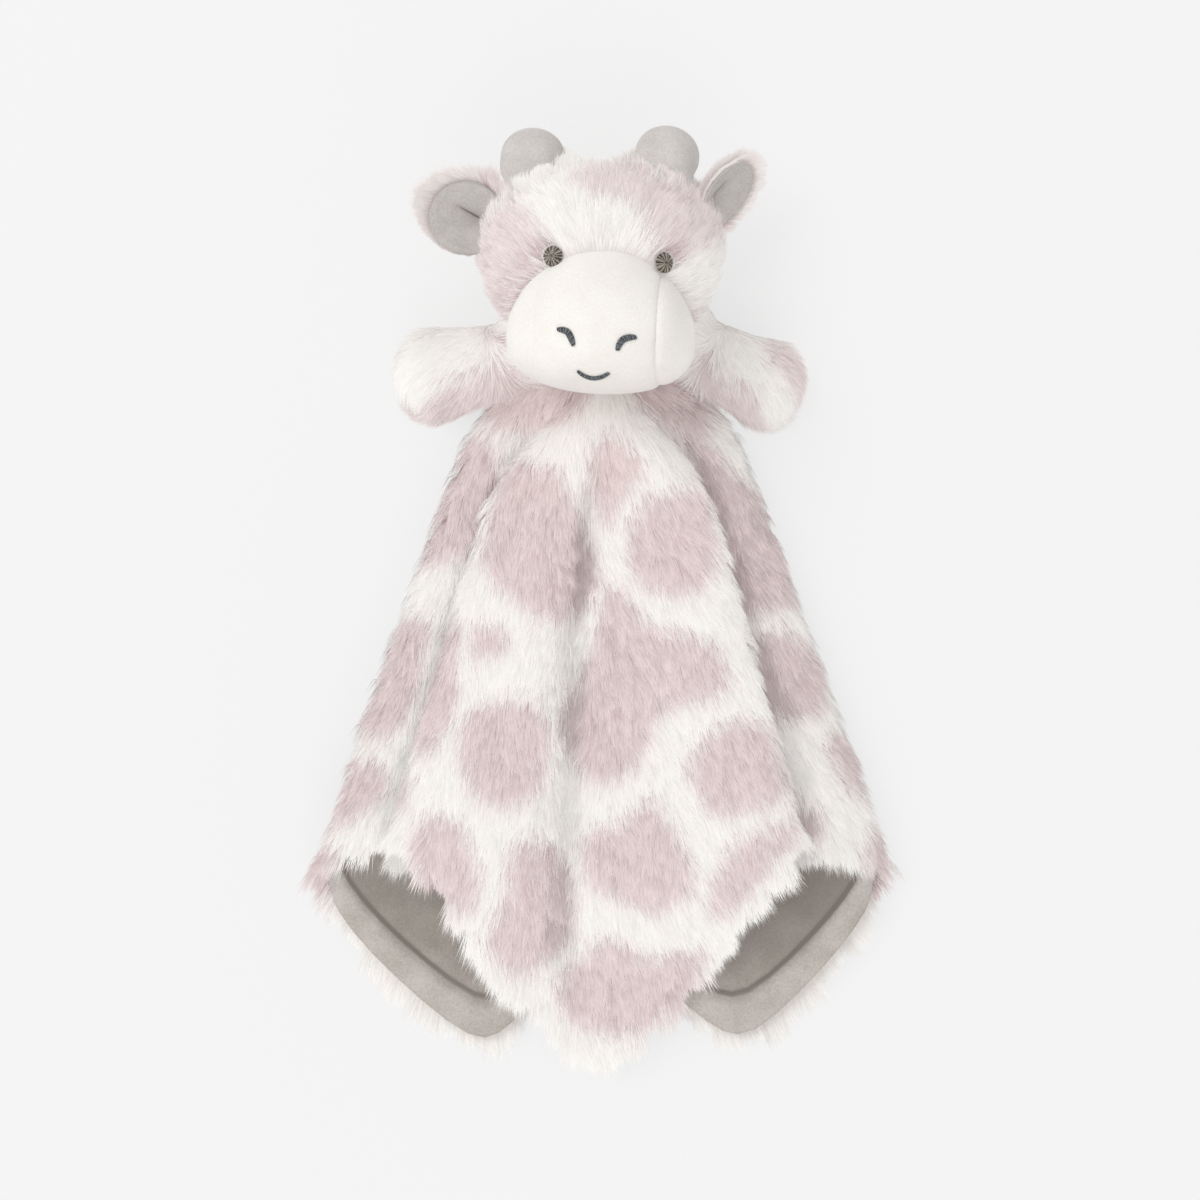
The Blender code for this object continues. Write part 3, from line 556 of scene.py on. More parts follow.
# Painted shade for the blanket's pile in the valleys of the folds: the grid, reach and depth of hollow() and
# how dark it makes the tone; then painted light for the pile under the chin
SHADE_PITCH = 0.002
SHADE_REACH = 0.012
SHADE_DEPTH = 0.004
HOLLOW_SHADE = 2.5
NECK_PAINTED_LIGHT = 0.45
BLANKET_TONE = 0.56
# Rays of the square in degrees: the front's edge, the pleats that get painted shade beside the flap
# and how much, where the cloth turns under, and where its back begins
FRONT_EDGE = 36
SHADED_PLEATS = ((270, 322, 0.45), (38, 90, 0.15))
TURNED_UNDER = 99
BACK_EDGE = 146
PILE_SEED = 7

# How thickly each ray of the square is planted, in degrees: thin where a pleat hides the pile
PILE_DENSITY = (
    (0, 1), (31, 1), (37, 0.3), (44, 0.08), (52, 0.1), (58, 0.8), (62, 1), (78, 1), (86, 0.5),
    (95, 0.12), (110, 0.12), (125, 0.5), (132, 0.8), (144, 0.8), (150, 0.35), (180, 0.3),
    (210, 0.35), (216, 0.8), (228, 0.8), (235, 0.5), (250, 0.12), (265, 0.12), (274, 0.5),
    (282, 1), (298, 1), (302, 0.8), (308, 0.1), (316, 0.08), (323, 0.3), (329, 1), (360, 1),
)
HEM_SHARE = 0.93
FRINGE_SHARE = 0.97
FRINGE_DENSITY = 3
FRINGE_SHORTEST, FRINGE_LONGEST = 0.6, 1.6
UNDER_FRINGE_SHARE = 0.75
NECK_SHARE = 0.32
NECK_LENGTH_SHARE = 1.2
BLANKET_LENGTHS = (0.7, 1.15)
# Rays with a lower cosine lie in the layers turned under; cloth with a lower upward part of its
# direction faces the table
UNDER_COSINE = -0.2
FACING_DOWN = -0.2
BLANKET_LIFT = 25
UNDER_LIFT = 8
NECK_LIFT = 16
BULGE_LIFT = 38
# The drape's own direction in the lay, and how much of the nap and splay reaches the under layers
DRAPE_LAY = 0.75
UNDER_NAP_SHARE = 0.4
UNDER_SPLAY_SHARE = 0.3

# Outlines of the spots, seen from above, in millimetres
NECK_SPOTS = (
    ((-45, 94), (-3, 92), (-4, 72), (-10, 68), (-16, 64), (-26, 63), (-36, 61), (-45, 64)),
    ((10, 92), (44, 92), (42, 66), (37, 57), (31, 59), (24, 64), (16, 69), (12, 73)),
)
FRONT_SPOTS = NECK_SPOTS + (
    ((-38, 50), (-18, 50), (-13, 42), (-8, 34), (-4, 20), (-1, 7), (-4, -4), (-15, -11), (-28, -7),
     (-35, 0), (-43, 6), (-46, 16), (-43, 28), (-41, 38), (-38, 46)),
    ((-72, -8), (-56, -7), (-53, -16), (-55, -26), (-53, -36), (-56, -48), (-62, -58), (-72, -62)),
    ((-84, -64), (-74, -66), (-71, -74), (-76, -82), (-86, -84)),
    ((-4, 58), (6, 61), (12, 54), (17, 49), (12, 42), (6, 34), (4, 26), (0, 26), (-2, 34), (-6, 44)),
    ((15, 36), (23, 39), (33, 42), (39, 39), (42, 32), (44, 18), (43, 8), (37, 2), (30, -1), (21, 1),
     (14, 5), (9, 12), (9, 20), (10, 29)),
    ((1, 4), (8, 4), (11, -2), (15, -9), (25, -13), (38, -16), (46, -23), (49, -31), (46, -37),
     (36, -40), (25, -43), (20, -47), (18, -56), (13, -65), (5, -71), (-1, -72), (-7, -68),
     (-12, -60), (-16, -51), (-15, -42), (-11, -36), (-7, -27), (-3, -16), (-1, -6)),
    ((-47, -41), (-34, -38), (-24, -40), (-19, -49), (-20, -60), (-21, -70), (-27, -78), (-36, -80),
     (-45, -78), (-51, -71), (-54, -62), (-54, -52), (-51, -45)),
    ((-50, -12), (-43, -10), (-37, -12), (-34, -16), (-38, -21), (-44, -24), (-50, -22)),
    ((33, -59), (42, -50), (53, -46), (62, -48), (66, -57), (71, -70), (69, -77), (58, -81),
     (43, -84), (37, -78), (34, -71), (31, -64)),
    ((-7, -90), (0, -88), (9, -84), (17, -76), (21, -78), (25, -86), (31, -94), (34, -103),
     (34, -112), (27, -117), (20, -121), (11, -117), (2, -113), (-5, -109), (-8, -99)),
    ((-67, -83), (-57, -83), (-51, -90), (-47, -101), (-45, -112), (-48, -121), (-57, -119),
     (-66, -114), (-72, -105), (-72, -94), (-70, -87)),
    ((-34, -93), (-21, -93), (-15, -97), (-10, -109), (-10, -122), (-13, -134), (-20, -138),
     (-27, -144), (-35, -145), (-42, -136), (-44, -128), (-39, -119), (-36, -112), (-36, -101)),
    ((51, -92), (60, -88), (70, -83), (75, -89), (72, -95), (64, -102), (59, -109), (53, -116),
     (46, -122), (40, -122), (39, -114), (42, -102)),
    ((-14, -141), (-4, -133), (4, -128), (12, -134), (19, -138), (32, -133), (40, -137), (37, -147),
     (34, -156), (24, -160), (19, -166), (10, -169), (-1, -167), (-13, -162), (-17, -154), (-17, -148)),
)
LEFT_SPOTS = NECK_SPOTS + (
    ((-49, 63), (-40, 59), (-38, 47), (-36, 36), (-39, 27), (-46, 17), (-55, 14), (-63, 12),
     (-73, 9), (-73, 19), (-65, 34), (-60, 47), (-54, 59)),
    ((-83, -7), (-62, -9), (-67, -22), (-69, -33), (-73, -45), (-79, -54), (-89, -55), (-98, -51),
     (-94, -37), (-89, -25), (-86, -16)),
    ((-100, -61), (-84, -63), (-80, -70), (-84, -79), (-97, -87), (-108, -92), (-111, -83),
     (-107, -73), (-103, -65)),
    ((-115, -98), (-107, -92), (-101, -98), (-102, -109), (-100, -117), (-108, -117), (-114, -109)),
)
RIGHT_SPOTS = NECK_SPOTS + (
    ((31, 60), (40, 59), (46, 51), (54, 44), (64, 35), (70, 24), (76, 13), (79, 1), (75, -4),
     (64, -6), (54, -10), (48, -2), (43, 13), (38, 28), (35, 43)),
    ((51, -15), (64, -13), (74, -14), (83, -22), (86, -33), (85, -44), (76, -47), (64, -47),
     (57, -37), (54, -25)),
    ((84, -55), (92, -51), (99, -57), (103, -67), (108, -81), (102, -79), (94, -74), (87, -65)),
    ((68, -70), (74, -79), (83, -83), (85, -92), (75, -95), (70, -86)),
    ((102, -90), (109, -89), (111, -105), (106, -119), (101, -113), (100, -100)),
)


def cut_corners(line, following):
    """Points a quarter of the way in from both ends of each piece of a line, which round its corners."""
    return np.stack((0.75 * line + 0.25 * following, 0.25 * line + 0.75 * following), 1).reshape(-1, 2)


def spot_depth(place, outline):
    """Signed distance into one spot, in metres and positive inside, for places seen from above. The
    outline's corners are cut off twice; the sign comes from how many of its edges lie to the right."""
    corners = np.array(outline, float) / 1000
    for _ in range(2):
        corners = cut_corners(corners, np.roll(corners, -1, axis=0))
    depth = np.full(len(place), -1.0)
    margin = 2 * SPOT_EDGE
    close = ((place > corners.min(0) - margin) & (place < corners.max(0) + margin)).all(1)
    here, start, step = place[close][:, None], corners, np.roll(corners, -1, axis=0) - corners
    along = np.clip(((here - start) * step).sum(-1) / (step**2).sum(-1), 0, 1)
    distance = np.linalg.norm(here - start - along[..., None] * step, axis=-1).min(1)
    below = here[..., 1] < start[:, 1]
    crosses = below != np.roll(below, -1, axis=1)
    rise = np.where(step[:, 1], step[:, 1], SMALLEST)
    meets = start[:, 0] + (here[..., 1] - start[:, 1]) * step[:, 0] / rise
    inside = (crosses & (here[..., 0] < meets)).sum(1) % 2 == 1
    depth[close] = np.where(inside, distance, -distance)
    return depth


def pinkness(place, outlines, uneven):
    """How pink the pile is at each place, from 0 to 1, with the spots' edges made uneven."""
    deepest = np.max([spot_depth(place, outline) for outline in outlines], axis=0)
    return smoothstep((deepest + uneven) / SPOT_EDGE + 0.5)


def blanket_pinkness(place, degrees, uneven):
    """The same on the blanket: its front, with the layers turned under, and each side have spots of
    their own. Degrees say on which ray of the square each place lies."""
    front, left, right = (pinkness(place, spots, uneven) for spots in (FRONT_SPOTS, LEFT_SPOTS, RIGHT_SPOTS))
    in_front = (degrees < FRONT_EDGE) | (degrees > 360 - FRONT_EDGE)
    under = (degrees > TURNED_UNDER) & (degrees < 360 - TURNED_UNDER)
    return np.where(in_front | under, front, np.where(degrees < 180, left, right))


def scatter(weights, count, random):
    """Fractional rows and columns of points strewn over a grid of cells in proportion to weights."""
    picked = random.choice(weights.size, count, p=weights.ravel() / weights.sum())
    row, column = np.divmod(picked, weights.shape[1])
    return row + random.random(count), column + random.random(count)


def cell_areas(grid):
    """Area of each cell of a grid of points whose columns close into a ring."""
    ringed = np.concatenate((grid, grid[:, :1]), axis=1)
    across, along = np.diff(ringed, axis=1)[:-1], np.diff(ringed, axis=0)[:, :-1]
    return np.linalg.norm(np.cross(across, along), axis=-1)


def nearest_tuft(place, pitch, random):
    """Number of each strand's tuft: the nearest of points strewn one to a square cell of that pitch."""
    cell = np.floor(place / pitch).astype(int)
    first = cell.min(0) - 1
    size = cell.max(0) - first + 2
    strewn = random.random((*size, 2))
    number, nearest = np.zeros(len(place), int), np.full(len(place), np.inf)
    for step in itertools.product((-1, 0, 1), repeat=2):
        there = cell - first + step
        centre = (there + first + strewn[there[:, 0], there[:, 1]]) * pitch
        distance = np.linalg.norm(place - centre, axis=1)
        closer = distance < nearest
        nearest = np.where(closer, distance, nearest)
        number = np.where(closer, there[:, 0] * size[1] + there[:, 1], number)
    return np.unique(number, return_inverse=True)[1]


def hollow(roots):
    """How far each root lies in a valley or beside a step: how much lower it is than the mean of the
    topmost roots around it, weighted by a bell curve, as a share from 0 to 1 of SHADE_DEPTH."""
    cell = np.floor(roots[:, :2] / SHADE_PITCH).astype(int)
    cell = cell - cell.min(0)
    topmost = np.zeros(cell.max(0) + 1)
    np.maximum.at(topmost, (cell[:, 0], cell[:, 1]), roots[:, 2])
    bells = []
    for size in topmost.shape:
        apart = np.subtract.outer(np.arange(size), np.arange(size)) * SHADE_PITCH / SHADE_REACH
        bell = np.exp(-(apart**2))
        bells.append(bell / bell.sum(1, keepdims=True))
    around = bells[0] @ topmost @ bells[1].T
    return np.clip((around[cell[:, 0], cell[:, 1]] - roots[:, 2]) / SHADE_DEPTH, 0, 1)


def comb(roots, out, lay, flat, length, lift, pull, random):
    """The spine of each strand at its stations. It leaves the cloth at lift degrees, bends over to
    lie nearly flat along lay, and its tip is drawn towards the middle of its tuft's tips."""
    tuft = nearest_tuft(flat, TUFT_PITCH, random)
    patch = nearest_tuft(flat, PATCH_PITCH, random)
    turn = (random.normal(0, TUFT_TURN, tuft.max() + 1)[tuft]
            + random.normal(0, PATCH_TURN, patch.max() + 1)[patch])
    turn = np.radians(turn + random.normal(0, STRAND_TURN, len(roots)))[:, None]
    lay = unit(lay - (lay * out).sum(-1, keepdims=True) * out)
    lay = lay * np.cos(turn) + np.cross(out, lay) * np.sin(turn)
    lift = lift * (1 + random.normal(0, LIFT_SPREAD, tuft.max() + 1)[tuft])
    halfway = (STATIONS[1:] + STATIONS[:-1]) / 2
    above_flat = np.clip(lift - PILE_FLAT, 0, STEEPEST)[:, None]
    rise = np.radians(PILE_FLAT + above_flat * (1 - halfway) ** BEND_POWER)
    run = (length[:, None] * np.diff(STATIONS))[..., None]
    legs = run * (np.cos(rise)[..., None] * lay[:, None] + np.sin(rise)[..., None] * out[:, None])
    spine = np.concatenate((roots[:, None], roots[:, None] + np.cumsum(legs, axis=1)), axis=1)
    tips = spine[:, -1]
    members = np.bincount(tuft)
    centre = np.stack([np.bincount(tuft, tips[:, k]) / members for k in range(3)], -1)[tuft]
    drawn = np.clip(random.normal(pull, PULL_SPREAD, len(roots)), 0, PULL_MOST)[:, None, None]
    return spine + (centre - tips)[:, None] * drawn * (STATIONS**PULL_POWER)[:, None], tuft


def strand_tones(mean, count, random, tuft=None):
    """A tone for each strand, spread about the mean, and with tufts spread as well where given."""
    tone = mean + random.normal(0, STRAND_TONE_SPREAD, count)
    return tone if tuft is None else tone + random.normal(0, TUFT_TONE_SPREAD, tuft.max() + 1)[tuft]


def in_bands(flat):
    """The order of strands by bands of their flat pattern, and along each band."""
    return np.lexsort((flat[:, 0], np.floor(flat[:, 1] / TUFT_PITCH)))


def add_pile(name, spine, out, pink, tone, body, random):
    """Strands as tapered ribbons along their spines, turned a little about themselves and facing out.
    Attribute pile holds pinkness, share of the way to the tip, and tone. In the UV map every strand
    has a cell of its own, and cells lie in the order of the strands."""
    count = len(spine)
    along = unit(np.gradient(spine, axis=1))[:, :2]
    roll = np.radians(random.uniform(-ROLL_REACH, ROLL_REACH, count))[:, None, None]
    side = unit(np.cross(along, out[:, None]))
    side = side * np.cos(roll) + np.cross(along, side) * np.sin(roll)
    half = STRAND_WIDTH / 2 * random.uniform(LEAST_WIDTH, MOST_WIDTH, count)
    half = half[:, None, None] * WIDTH_SHARES[:, None]
    edges = np.stack((spine[:, :2] - side * half, spine[:, :2] + side * half), axis=2)
    points = np.concatenate((edges.reshape(count, 4, 3), spine[:, 2:]), axis=1)
    points[..., 2] = np.maximum(points[..., 2], CLEARANCE)
    first = (np.arange(count) * 5)[:, None]
    quads, tips = first + np.array((0, 1, 3, 2)), first + np.array((2, 3, 4))
    cells = math.ceil(math.sqrt(count))
    corner = np.c_[np.arange(count) % cells, np.arange(count) // cells][:, None]
    flat = ((corner + STRAND_CELL) / cells).reshape(-1, 2)
    piece = add_piece(name, points.reshape(-1, 3), (quads, tips), long_pile, body,
                      (flat[quads], flat[tips]))
    share = np.broadcast_to(np.r_[np.repeat(STATIONS[:2], 2), 1], (count, 5))
    values = np.stack((np.repeat(pink[:, None], 5, 1), share, np.repeat(tone[:, None], 5, 1)), -1)
    set_attribute(piece, "pile", values)
    # Fibres hand the light on to each other, which ribbons can't, so they don't shade one another
    piece.visible_shadow = False
    piece.visible_diffuse = False
    return piece


def add_piles(name, order, strands, body, random):
    """Strands, as their spines, outward directions, pinkness and tones, in this order, in as many
    pieces as it takes."""
    parts = math.ceil(len(order) / STRANDS_A_PIECE)
    return [add_pile(f"{name}_{number + 1}", *(values[members] for values in strands), body, random)
            for number, members in enumerate(np.array_split(order, parts))]


# Polyester plush pile: each strand is pale and a little translucent at its tip, and its colour
# darkens towards its root as painted shade, for the shade its neighbours cast. Its tone, which goes
# darker on pink strands, carries random spread and, on the blanket, painted shade and light. Sheen
# stands for the light that the strands pass on.
long_pile, tree = new_material("long pile polyester plush")
strand = add_node(tree, "Attribute", {"attribute_name": "pile"})
split = add_node(tree, "SeparateXYZ", inputs={0: strand.outputs["Vector"]})
white = add_mix(tree, split.outputs[1], "e9e2dd", "fbf9f6")
pink = add_mix(tree, split.outputs[1], "b59b9c", "f3e4e2")
colour = add_mix(tree, split.outputs[0], white, pink)
deepest = add_node(tree, "Mix", {"data_type": "FLOAT"}, {0: split.outputs[0], 2: 0.8, 3: 0.62})
tone = add_node(tree, "MapRange", inputs={
    "Value": split.outputs[2], "From Min": -1.0, "To Min": deepest.outputs[0], "To Max": 1.07})
colour = add_node(tree, "HueSaturation", inputs={"Value": tone.outputs[0], "Color": colour})
add_surface(tree, {"Base Color": colour.outputs[0], "Roughness": 0.85, "Specular IOR Level": 0.25,
                   "Sheen Weight": 0.35, "Sheen Roughness": 0.5})

random = np.random.default_rng(PILE_SEED)
outer = drape_field + drape_out * (CLEARANCE / 2 + FUR_CLOTH)
planted = np.interp(np.degrees(ray_angle), *np.transpose(PILE_DENSITY))[None, :]
path_share = np.linspace(0, 1, PATH_STEPS + 1)[:-1, None]
planted = np.maximum(planted, np.where(path_share > FRINGE_SHARE, FRINGE_DENSITY, path_share > HEM_SHARE))
weights = cell_areas(outer) * planted
row, column = scatter(weights, int(weights.sum() * 1e6 * STRANDS_A_MM2), random)
column = column % len(ray_angle)
angle = np.interp(column, np.arange(len(ray_angle) + 1), np.r_[ray_angle, 2 * math.pi])
share = row / PATH_STEPS
flat = (share * hem_distance(angle))[:, None] * np.c_[np.cos(angle), np.sin(angle)]
roots, out = between(outer, row, column), unit(between(drape_out, row, column))
seen_layers = np.cos(angle) > UNDER_COSINE
lay = DRAPE_LAY * between(drape_along, row, column)
lay = lay + np.array(NAP) * np.where(seen_layers, 1, UNDER_NAP_SHARE)[:, None]
lay[:, 0] += SPLAY * roots[:, 0] * np.where(seen_layers, 1, UNDER_SPLAY_SHARE)
underneath = out[:, 2] < FACING_DOWN
length = BLANKET_PILE_LENGTH * random.uniform(*BLANKET_LENGTHS, len(roots))
patch = nearest_tuft(flat, PATCH_PITCH / 2, random)
fringe = random.uniform(FRINGE_SHORTEST, FRINGE_LONGEST, patch.max() + 1)[patch]
fringe = fringe * np.where(underneath, UNDER_FRINGE_SHARE, 1)
length = np.where(share > FRINGE_SHARE, length * fringe, length)
near_neck = 1 - smoothstep(share / NECK_SHARE)
length = length * (1 + (NECK_LENGTH_SHARE - 1) * near_neck)
at_bulge = np.abs(out[:, 0]) * (share > NECK_SHARE)
lift = np.where(underneath, UNDER_LIFT, BLANKET_LIFT + NECK_LIFT * near_neck + BULGE_LIFT * at_bulge)
spine, tuft = comb(roots, out, lay, flat, length, lift, BLANKET_PULL, random)
degrees = np.degrees(angle)
uneven = random.normal(0, SPOT_UNEVEN, len(roots))
pink_share = blanket_pinkness(spine[:, SEEN_STATION, :2], degrees, uneven)
# Painted light lifts the pile's tone under the chin, where the muzzle shades it; painted shade darkens it in
# the valleys of the folds and on the pleats beside the flap
tone = strand_tones(BLANKET_TONE, len(roots), random, tuft) + NECK_PAINTED_LIGHT * near_neck
tone = tone - HOLLOW_SHADE * hollow(roots) * (1 - near_neck)
for start, end, shade in SHADED_PLEATS:
    tone = tone - shade * ((degrees > start) & (degrees < end))
strands = spine, out, pink_share, np.clip(tone, -1, 1)
borders = np.array((FRONT_EDGE, BACK_EDGE, 360 - BACK_EDGE, 360 - FRONT_EDGE))
region = np.digitize(degrees, borders)
blanket_pile = []
for name, numbers in (("front", (0, 4)), ("left", (1,)), ("right", (3,)), ("back", (2,))):
    chosen = np.flatnonzero(np.isin(region, numbers))
    chosen = chosen[in_bands(flat[chosen])]
    blanket_pile += add_piles("blanket_pile_" + name, chosen, strands, "blanket", random)

# The same spots on the backing cloth
degrees = np.broadcast_to(np.degrees(ray_angle), plush_grid.shape[:2]).ravel()
backing_pink = np.r_[blanket_pinkness(plush_grid[..., :2].reshape(-1, 2), degrees, 0), 0, 0]
set_attribute(plush_cloth, "pile", np.c_[backing_pink, 0 * backing_pink, 0 * backing_pink])

# The head: a ball of the same plush stuffed hard with fibre, flattened a little from crown to neck.
# Its pile is brushed away from the muzzle on all sides.
HEAD_PILE_LENGTH = 0.0112
HEAD_STRANDS = 96000
# More strands are tried than are kept, because those under the muzzle are left out
TRIED_SHARE = 1.5
MUZZLE_EDGE = 0.97
BALL_ROWS = 60
BALL_COLUMNS = 96
POLE_ANGLE = 0.04
HEAD_LIFT = 38
STUFFED_LENGTHS = (0.8, 1.1)
HEAD_TONE = 0.5
# The pile is brushed away from this place of the muzzle, and is shortest beside it
WHORL = np.array((0, 0.004, 0.02))
SHORT_SHARE = 0.55
SHORT_REACH = 0.35
HEAD_PINK_SHARE = 0.8
PINK_START = 0.01
PINK_RUN = 0.012
HORN_COLLAR_REACH = 0.0065
EAR_COLLAR_REACH = 0.018
COLLAR_LIFT = 62
COLLAR_EXTRA = 0.006
COLLAR_DENSITY = 2.5
COLLAR_LAY = 1.1
# Where the pile stands up between a horn and an ear, and its direction there
COWLICKS = (("left", 40, -86, (-0.5, 0.85, 0.15)), ("right", 44, 84, (0.55, 0.8, 0.25)))
COWLICK_REACH = 0.013
EYES = (("left", 2.2, -26.5), ("right", -1.3, 35))
EYE_CLEAR = 0.0041
HORN_RADIUS = 0.0124
HORN_BASE_RADIUS = 0.0108
HORNS = (("left", 50, -75, (-0.12, 0.99, -0.06)), ("right", 52, 76, (0.02, 0.99, -0.06)))
# Seat, direction, facing, half width, and how far the crease lies to one side and leans
EARS = (
    ("left", 24, -88, (-0.97, 0.2, 0.12), (0.12, -0.1, 1), 0.0138, -0.0026, -0.3),
    ("right", 27.5, 91, (0.64, 0.77, 0.08), (0.6, -0.45, 0.66), 0.0102, 0.0022, 0),
)
MUZZLE_HALF_WIDTH = 0.035
MUZZLE_RISE = 0.034
MUZZLE_DROP = 0.027
MUZZLE_HALF_DEPTH = 0.029
MUZZLE_BELOW = 0.0223
MUZZLE_FORWARD = 0.0205
MUZZLE_ROUND_POWER = 2.3
CHIN_POWER = 3.4
CROWN_TAPER_SHARE = 0.33
CHIN_FLARE_SHARE = 0.06
MUZZLE_TILT = -2.5
MUZZLE_TURN = -5
HEAD_SPOTS = NECK_SPOTS + (
    ((-47, 134), (-39, 144), (-30, 146), (-24, 139), (-21, 129), (-22, 123), (-29, 113), (-35, 105),
     (-37, 97), (-44, 106), (-48, 120)),
    ((-13, 156), (-1, 161), (14, 163), (23, 156), (37, 155), (49, 143), (53, 136), (45, 132),
     (36, 127), (27, 124), (20, 128), (14, 142), (3, 145), (-7, 149)),
    ((34, 105), (46, 108), (52, 99), (45, 89), (37, 84), (32, 90), (35, 99)),
    ((-44, 162), (-36, 159), (-33, 149), (-39, 145), (-45, 150)),
)
muzzle_turned = (Matrix.Rotation(math.radians(MUZZLE_TILT), 3, "Z")
                 @ Matrix.Rotation(math.radians(MUZZLE_TURN), 3, "Y"))
muzzle_turned = np.array(muzzle_turned)
muzzle_centre = HEAD_CENTRE + np.array((0, -MUZZLE_BELOW, MUZZLE_FORWARD))


def muzzle_frame(points):
    """Points of the toy about the muzzle's own centre and axes."""
    return (points - muzzle_centre) @ muzzle_turned


def muzzle_girth(y):
    """Half width and half depth of the muzzle at a height y of its own: upwards it rounds off and
    narrows like an egg, downwards it is fuller with a blunt chin."""
    above = y > 0
    steep = np.clip(np.abs(y) / np.where(above, MUZZLE_RISE, MUZZLE_DROP), 0, 1)
    wide = np.sqrt(np.maximum(1 - steep ** np.where(above, 2, CHIN_POWER), 0))
    taper = np.where(above, 1 - CROWN_TAPER_SHARE * steep, 1 + CHIN_FLARE_SHARE * steep)
    return MUZZLE_HALF_WIDTH * wide * taper, MUZZLE_HALF_DEPTH * wide


def muzzle_measure(points):
    """Below 1 inside the muzzle, above 1 outside."""
    x, y, z = muzzle_frame(points).T
    width, depth = muzzle_girth(y)
    measure = ((np.abs(x) / np.maximum(width, SMALLEST)) ** MUZZLE_ROUND_POWER
               + (np.abs(z) / np.maximum(depth, SMALLEST)) ** MUZZLE_ROUND_POWER)
    return np.where(width > SMALLEST, measure, 2)


away = np.linspace(POLE_ANGLE, math.pi - POLE_ANGLE, BALL_ROWS)[:, None]
turn = np.linspace(0, 2 * math.pi, BALL_COLUMNS, endpoint=False)
ball_size = np.array((HEAD_RADIUS, HEAD_HALF_HEIGHT, HEAD_RADIUS))
direction = np.stack((np.sin(away) * np.cos(turn), np.sin(away) * np.sin(turn), np.cos(away) + 0 * turn), -1)
ball = HEAD_CENTRE + direction * ball_size
ball_out = unit(direction / ball_size)
ball[..., 2] = np.maximum(ball[..., 2], CLEARANCE)
poles = HEAD_CENTRE + (0, 0, HEAD_RADIUS), HEAD_CENTRE * (1, 1, 0) + (0, 0, CLEARANCE)
head_base = add_skin("head_stuffed_cover", ball[:, ::-1], plush_backing, "head", poles)
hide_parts("head_cover", "head_filling")


def collars(points):
    """How close points of the head's skin are to the root of a horn or an ear, from 0 to 1, and the
    sum of the directions of those horns and ears in the same shares."""
    closest, drawn = np.zeros(points.shape[:-1]), np.zeros(points.shape)
    stems = [(row, HORN_BASE_RADIUS, HORN_COLLAR_REACH) for row in HORNS]
    stems += [(row, 0, EAR_COLLAR_REACH) for row in EARS] + [(row, 0, COWLICK_REACH) for row in COWLICKS]
    for (_, latitude, longitude, direction, *_), radius, reach in stems:
        seat, _ = head_seat(latitude, longitude, 0)
        near = np.exp(-(((np.linalg.norm(points - seat, axis=-1) - radius) / reach) ** 2))
        closest = np.maximum(closest, near)
        drawn = drawn + near[..., None] * unit(np.array(direction))
    return closest, drawn


weights = cell_areas(ball) * (1 + COLLAR_DENSITY * collars(ball[:-1])[0])
row, column = scatter(weights, int(HEAD_STRANDS * TRIED_SHARE), random)
roots, out = between(ball, row, column), unit(between(ball_out, row, column))
kept = np.flatnonzero(muzzle_measure(roots) > MUZZLE_EDGE)[:HEAD_STRANDS]
row, column, roots, out = (values[kept] for values in (row, column, roots, out))
away = POLE_ANGLE + row / (BALL_ROWS - 1) * (math.pi - 2 * POLE_ANGLE)
turn = column / BALL_COLUMNS * 2 * math.pi
flat = (away * HEAD_RADIUS)[:, None] * np.c_[np.cos(turn), np.sin(turn)]
beside = np.clip((muzzle_measure(roots) - 1) / SHORT_REACH, 0, 1)
collar, drawn = collars(roots)
lay = unit(roots - (muzzle_centre + WHORL)) + COLLAR_LAY * drawn
clear = np.ones(len(roots), bool)
for _, latitude, longitude, direction in HORNS:
    seat, _ = head_seat(latitude, longitude, 0)
    apart, direction = roots - seat, unit(np.array(direction))
    from_axis = np.linalg.norm(apart - (apart @ direction)[:, None] * direction, axis=1)
    clear &= from_axis > HORN_BASE_RADIUS - CLEARANCE
length = HEAD_PILE_LENGTH * (SHORT_SHARE + (1 - SHORT_SHARE) * beside)
length = length * random.uniform(*STUFFED_LENGTHS, len(roots)) + COLLAR_EXTRA * collar
spine, tuft = comb(roots, out, lay, flat, length, HEAD_LIFT + COLLAR_LIFT * collar, PULL, random)
steps = np.linspace(0, 1, 6)[:, None]
legs = spine[:, :-1, None] * (1 - steps) + spine[:, 1:, None] * steps
for _, latitude, longitude in EYES:
    eye, _ = head_seat(latitude, longitude, 0)
    clear &= (np.linalg.norm((legs - eye)[..., :2], axis=-1) > EYE_CLEAR).all((1, 2))
spine, out, roots, tuft, flat = (values[clear] for values in (spine, out, roots, tuft, flat))
uneven = random.normal(0, SPOT_UNEVEN, len(roots))
pink_share = pinkness(spine[:, SEEN_STATION, :2], HEAD_SPOTS, uneven)
pink_share = HEAD_PINK_SHARE * pink_share * smoothstep((roots[:, 2] - PINK_START) / PINK_RUN)
tone = np.clip(strand_tones(HEAD_TONE, len(roots), random, tuft), -1, 1)
add_piles("head_pile", in_bands(flat), (spine, out, pink_share, tone), "head", random)

# The muzzle: a front panel with the chin and a gusset on each side, cut from ivory velboa and
# stuffed hard. The seams draw in; the right one shows clearly and the left one faintly.
GUSSET_SEAM = 0.023
SEAM_WIDTH = 0.001
SEAM_DEPTHS = {"left": 0.0002, "right": 0.0013}
PANEL_ROWS = 72
FRONT_COLUMNS = 64
GUSSET_COLUMNS = 32
# The last rows before chin and crown, in degrees
LAST_ROW = 88.5
# The front panel goes on round the chin, and up its underside to this height in degrees
CHIN_TUCK = -7
NARROWEST_GUSSET = 3
ivory_velboa = short_pile("ivory velboa", "faf6f1", "f1ece6", 0.016, 0.0008)


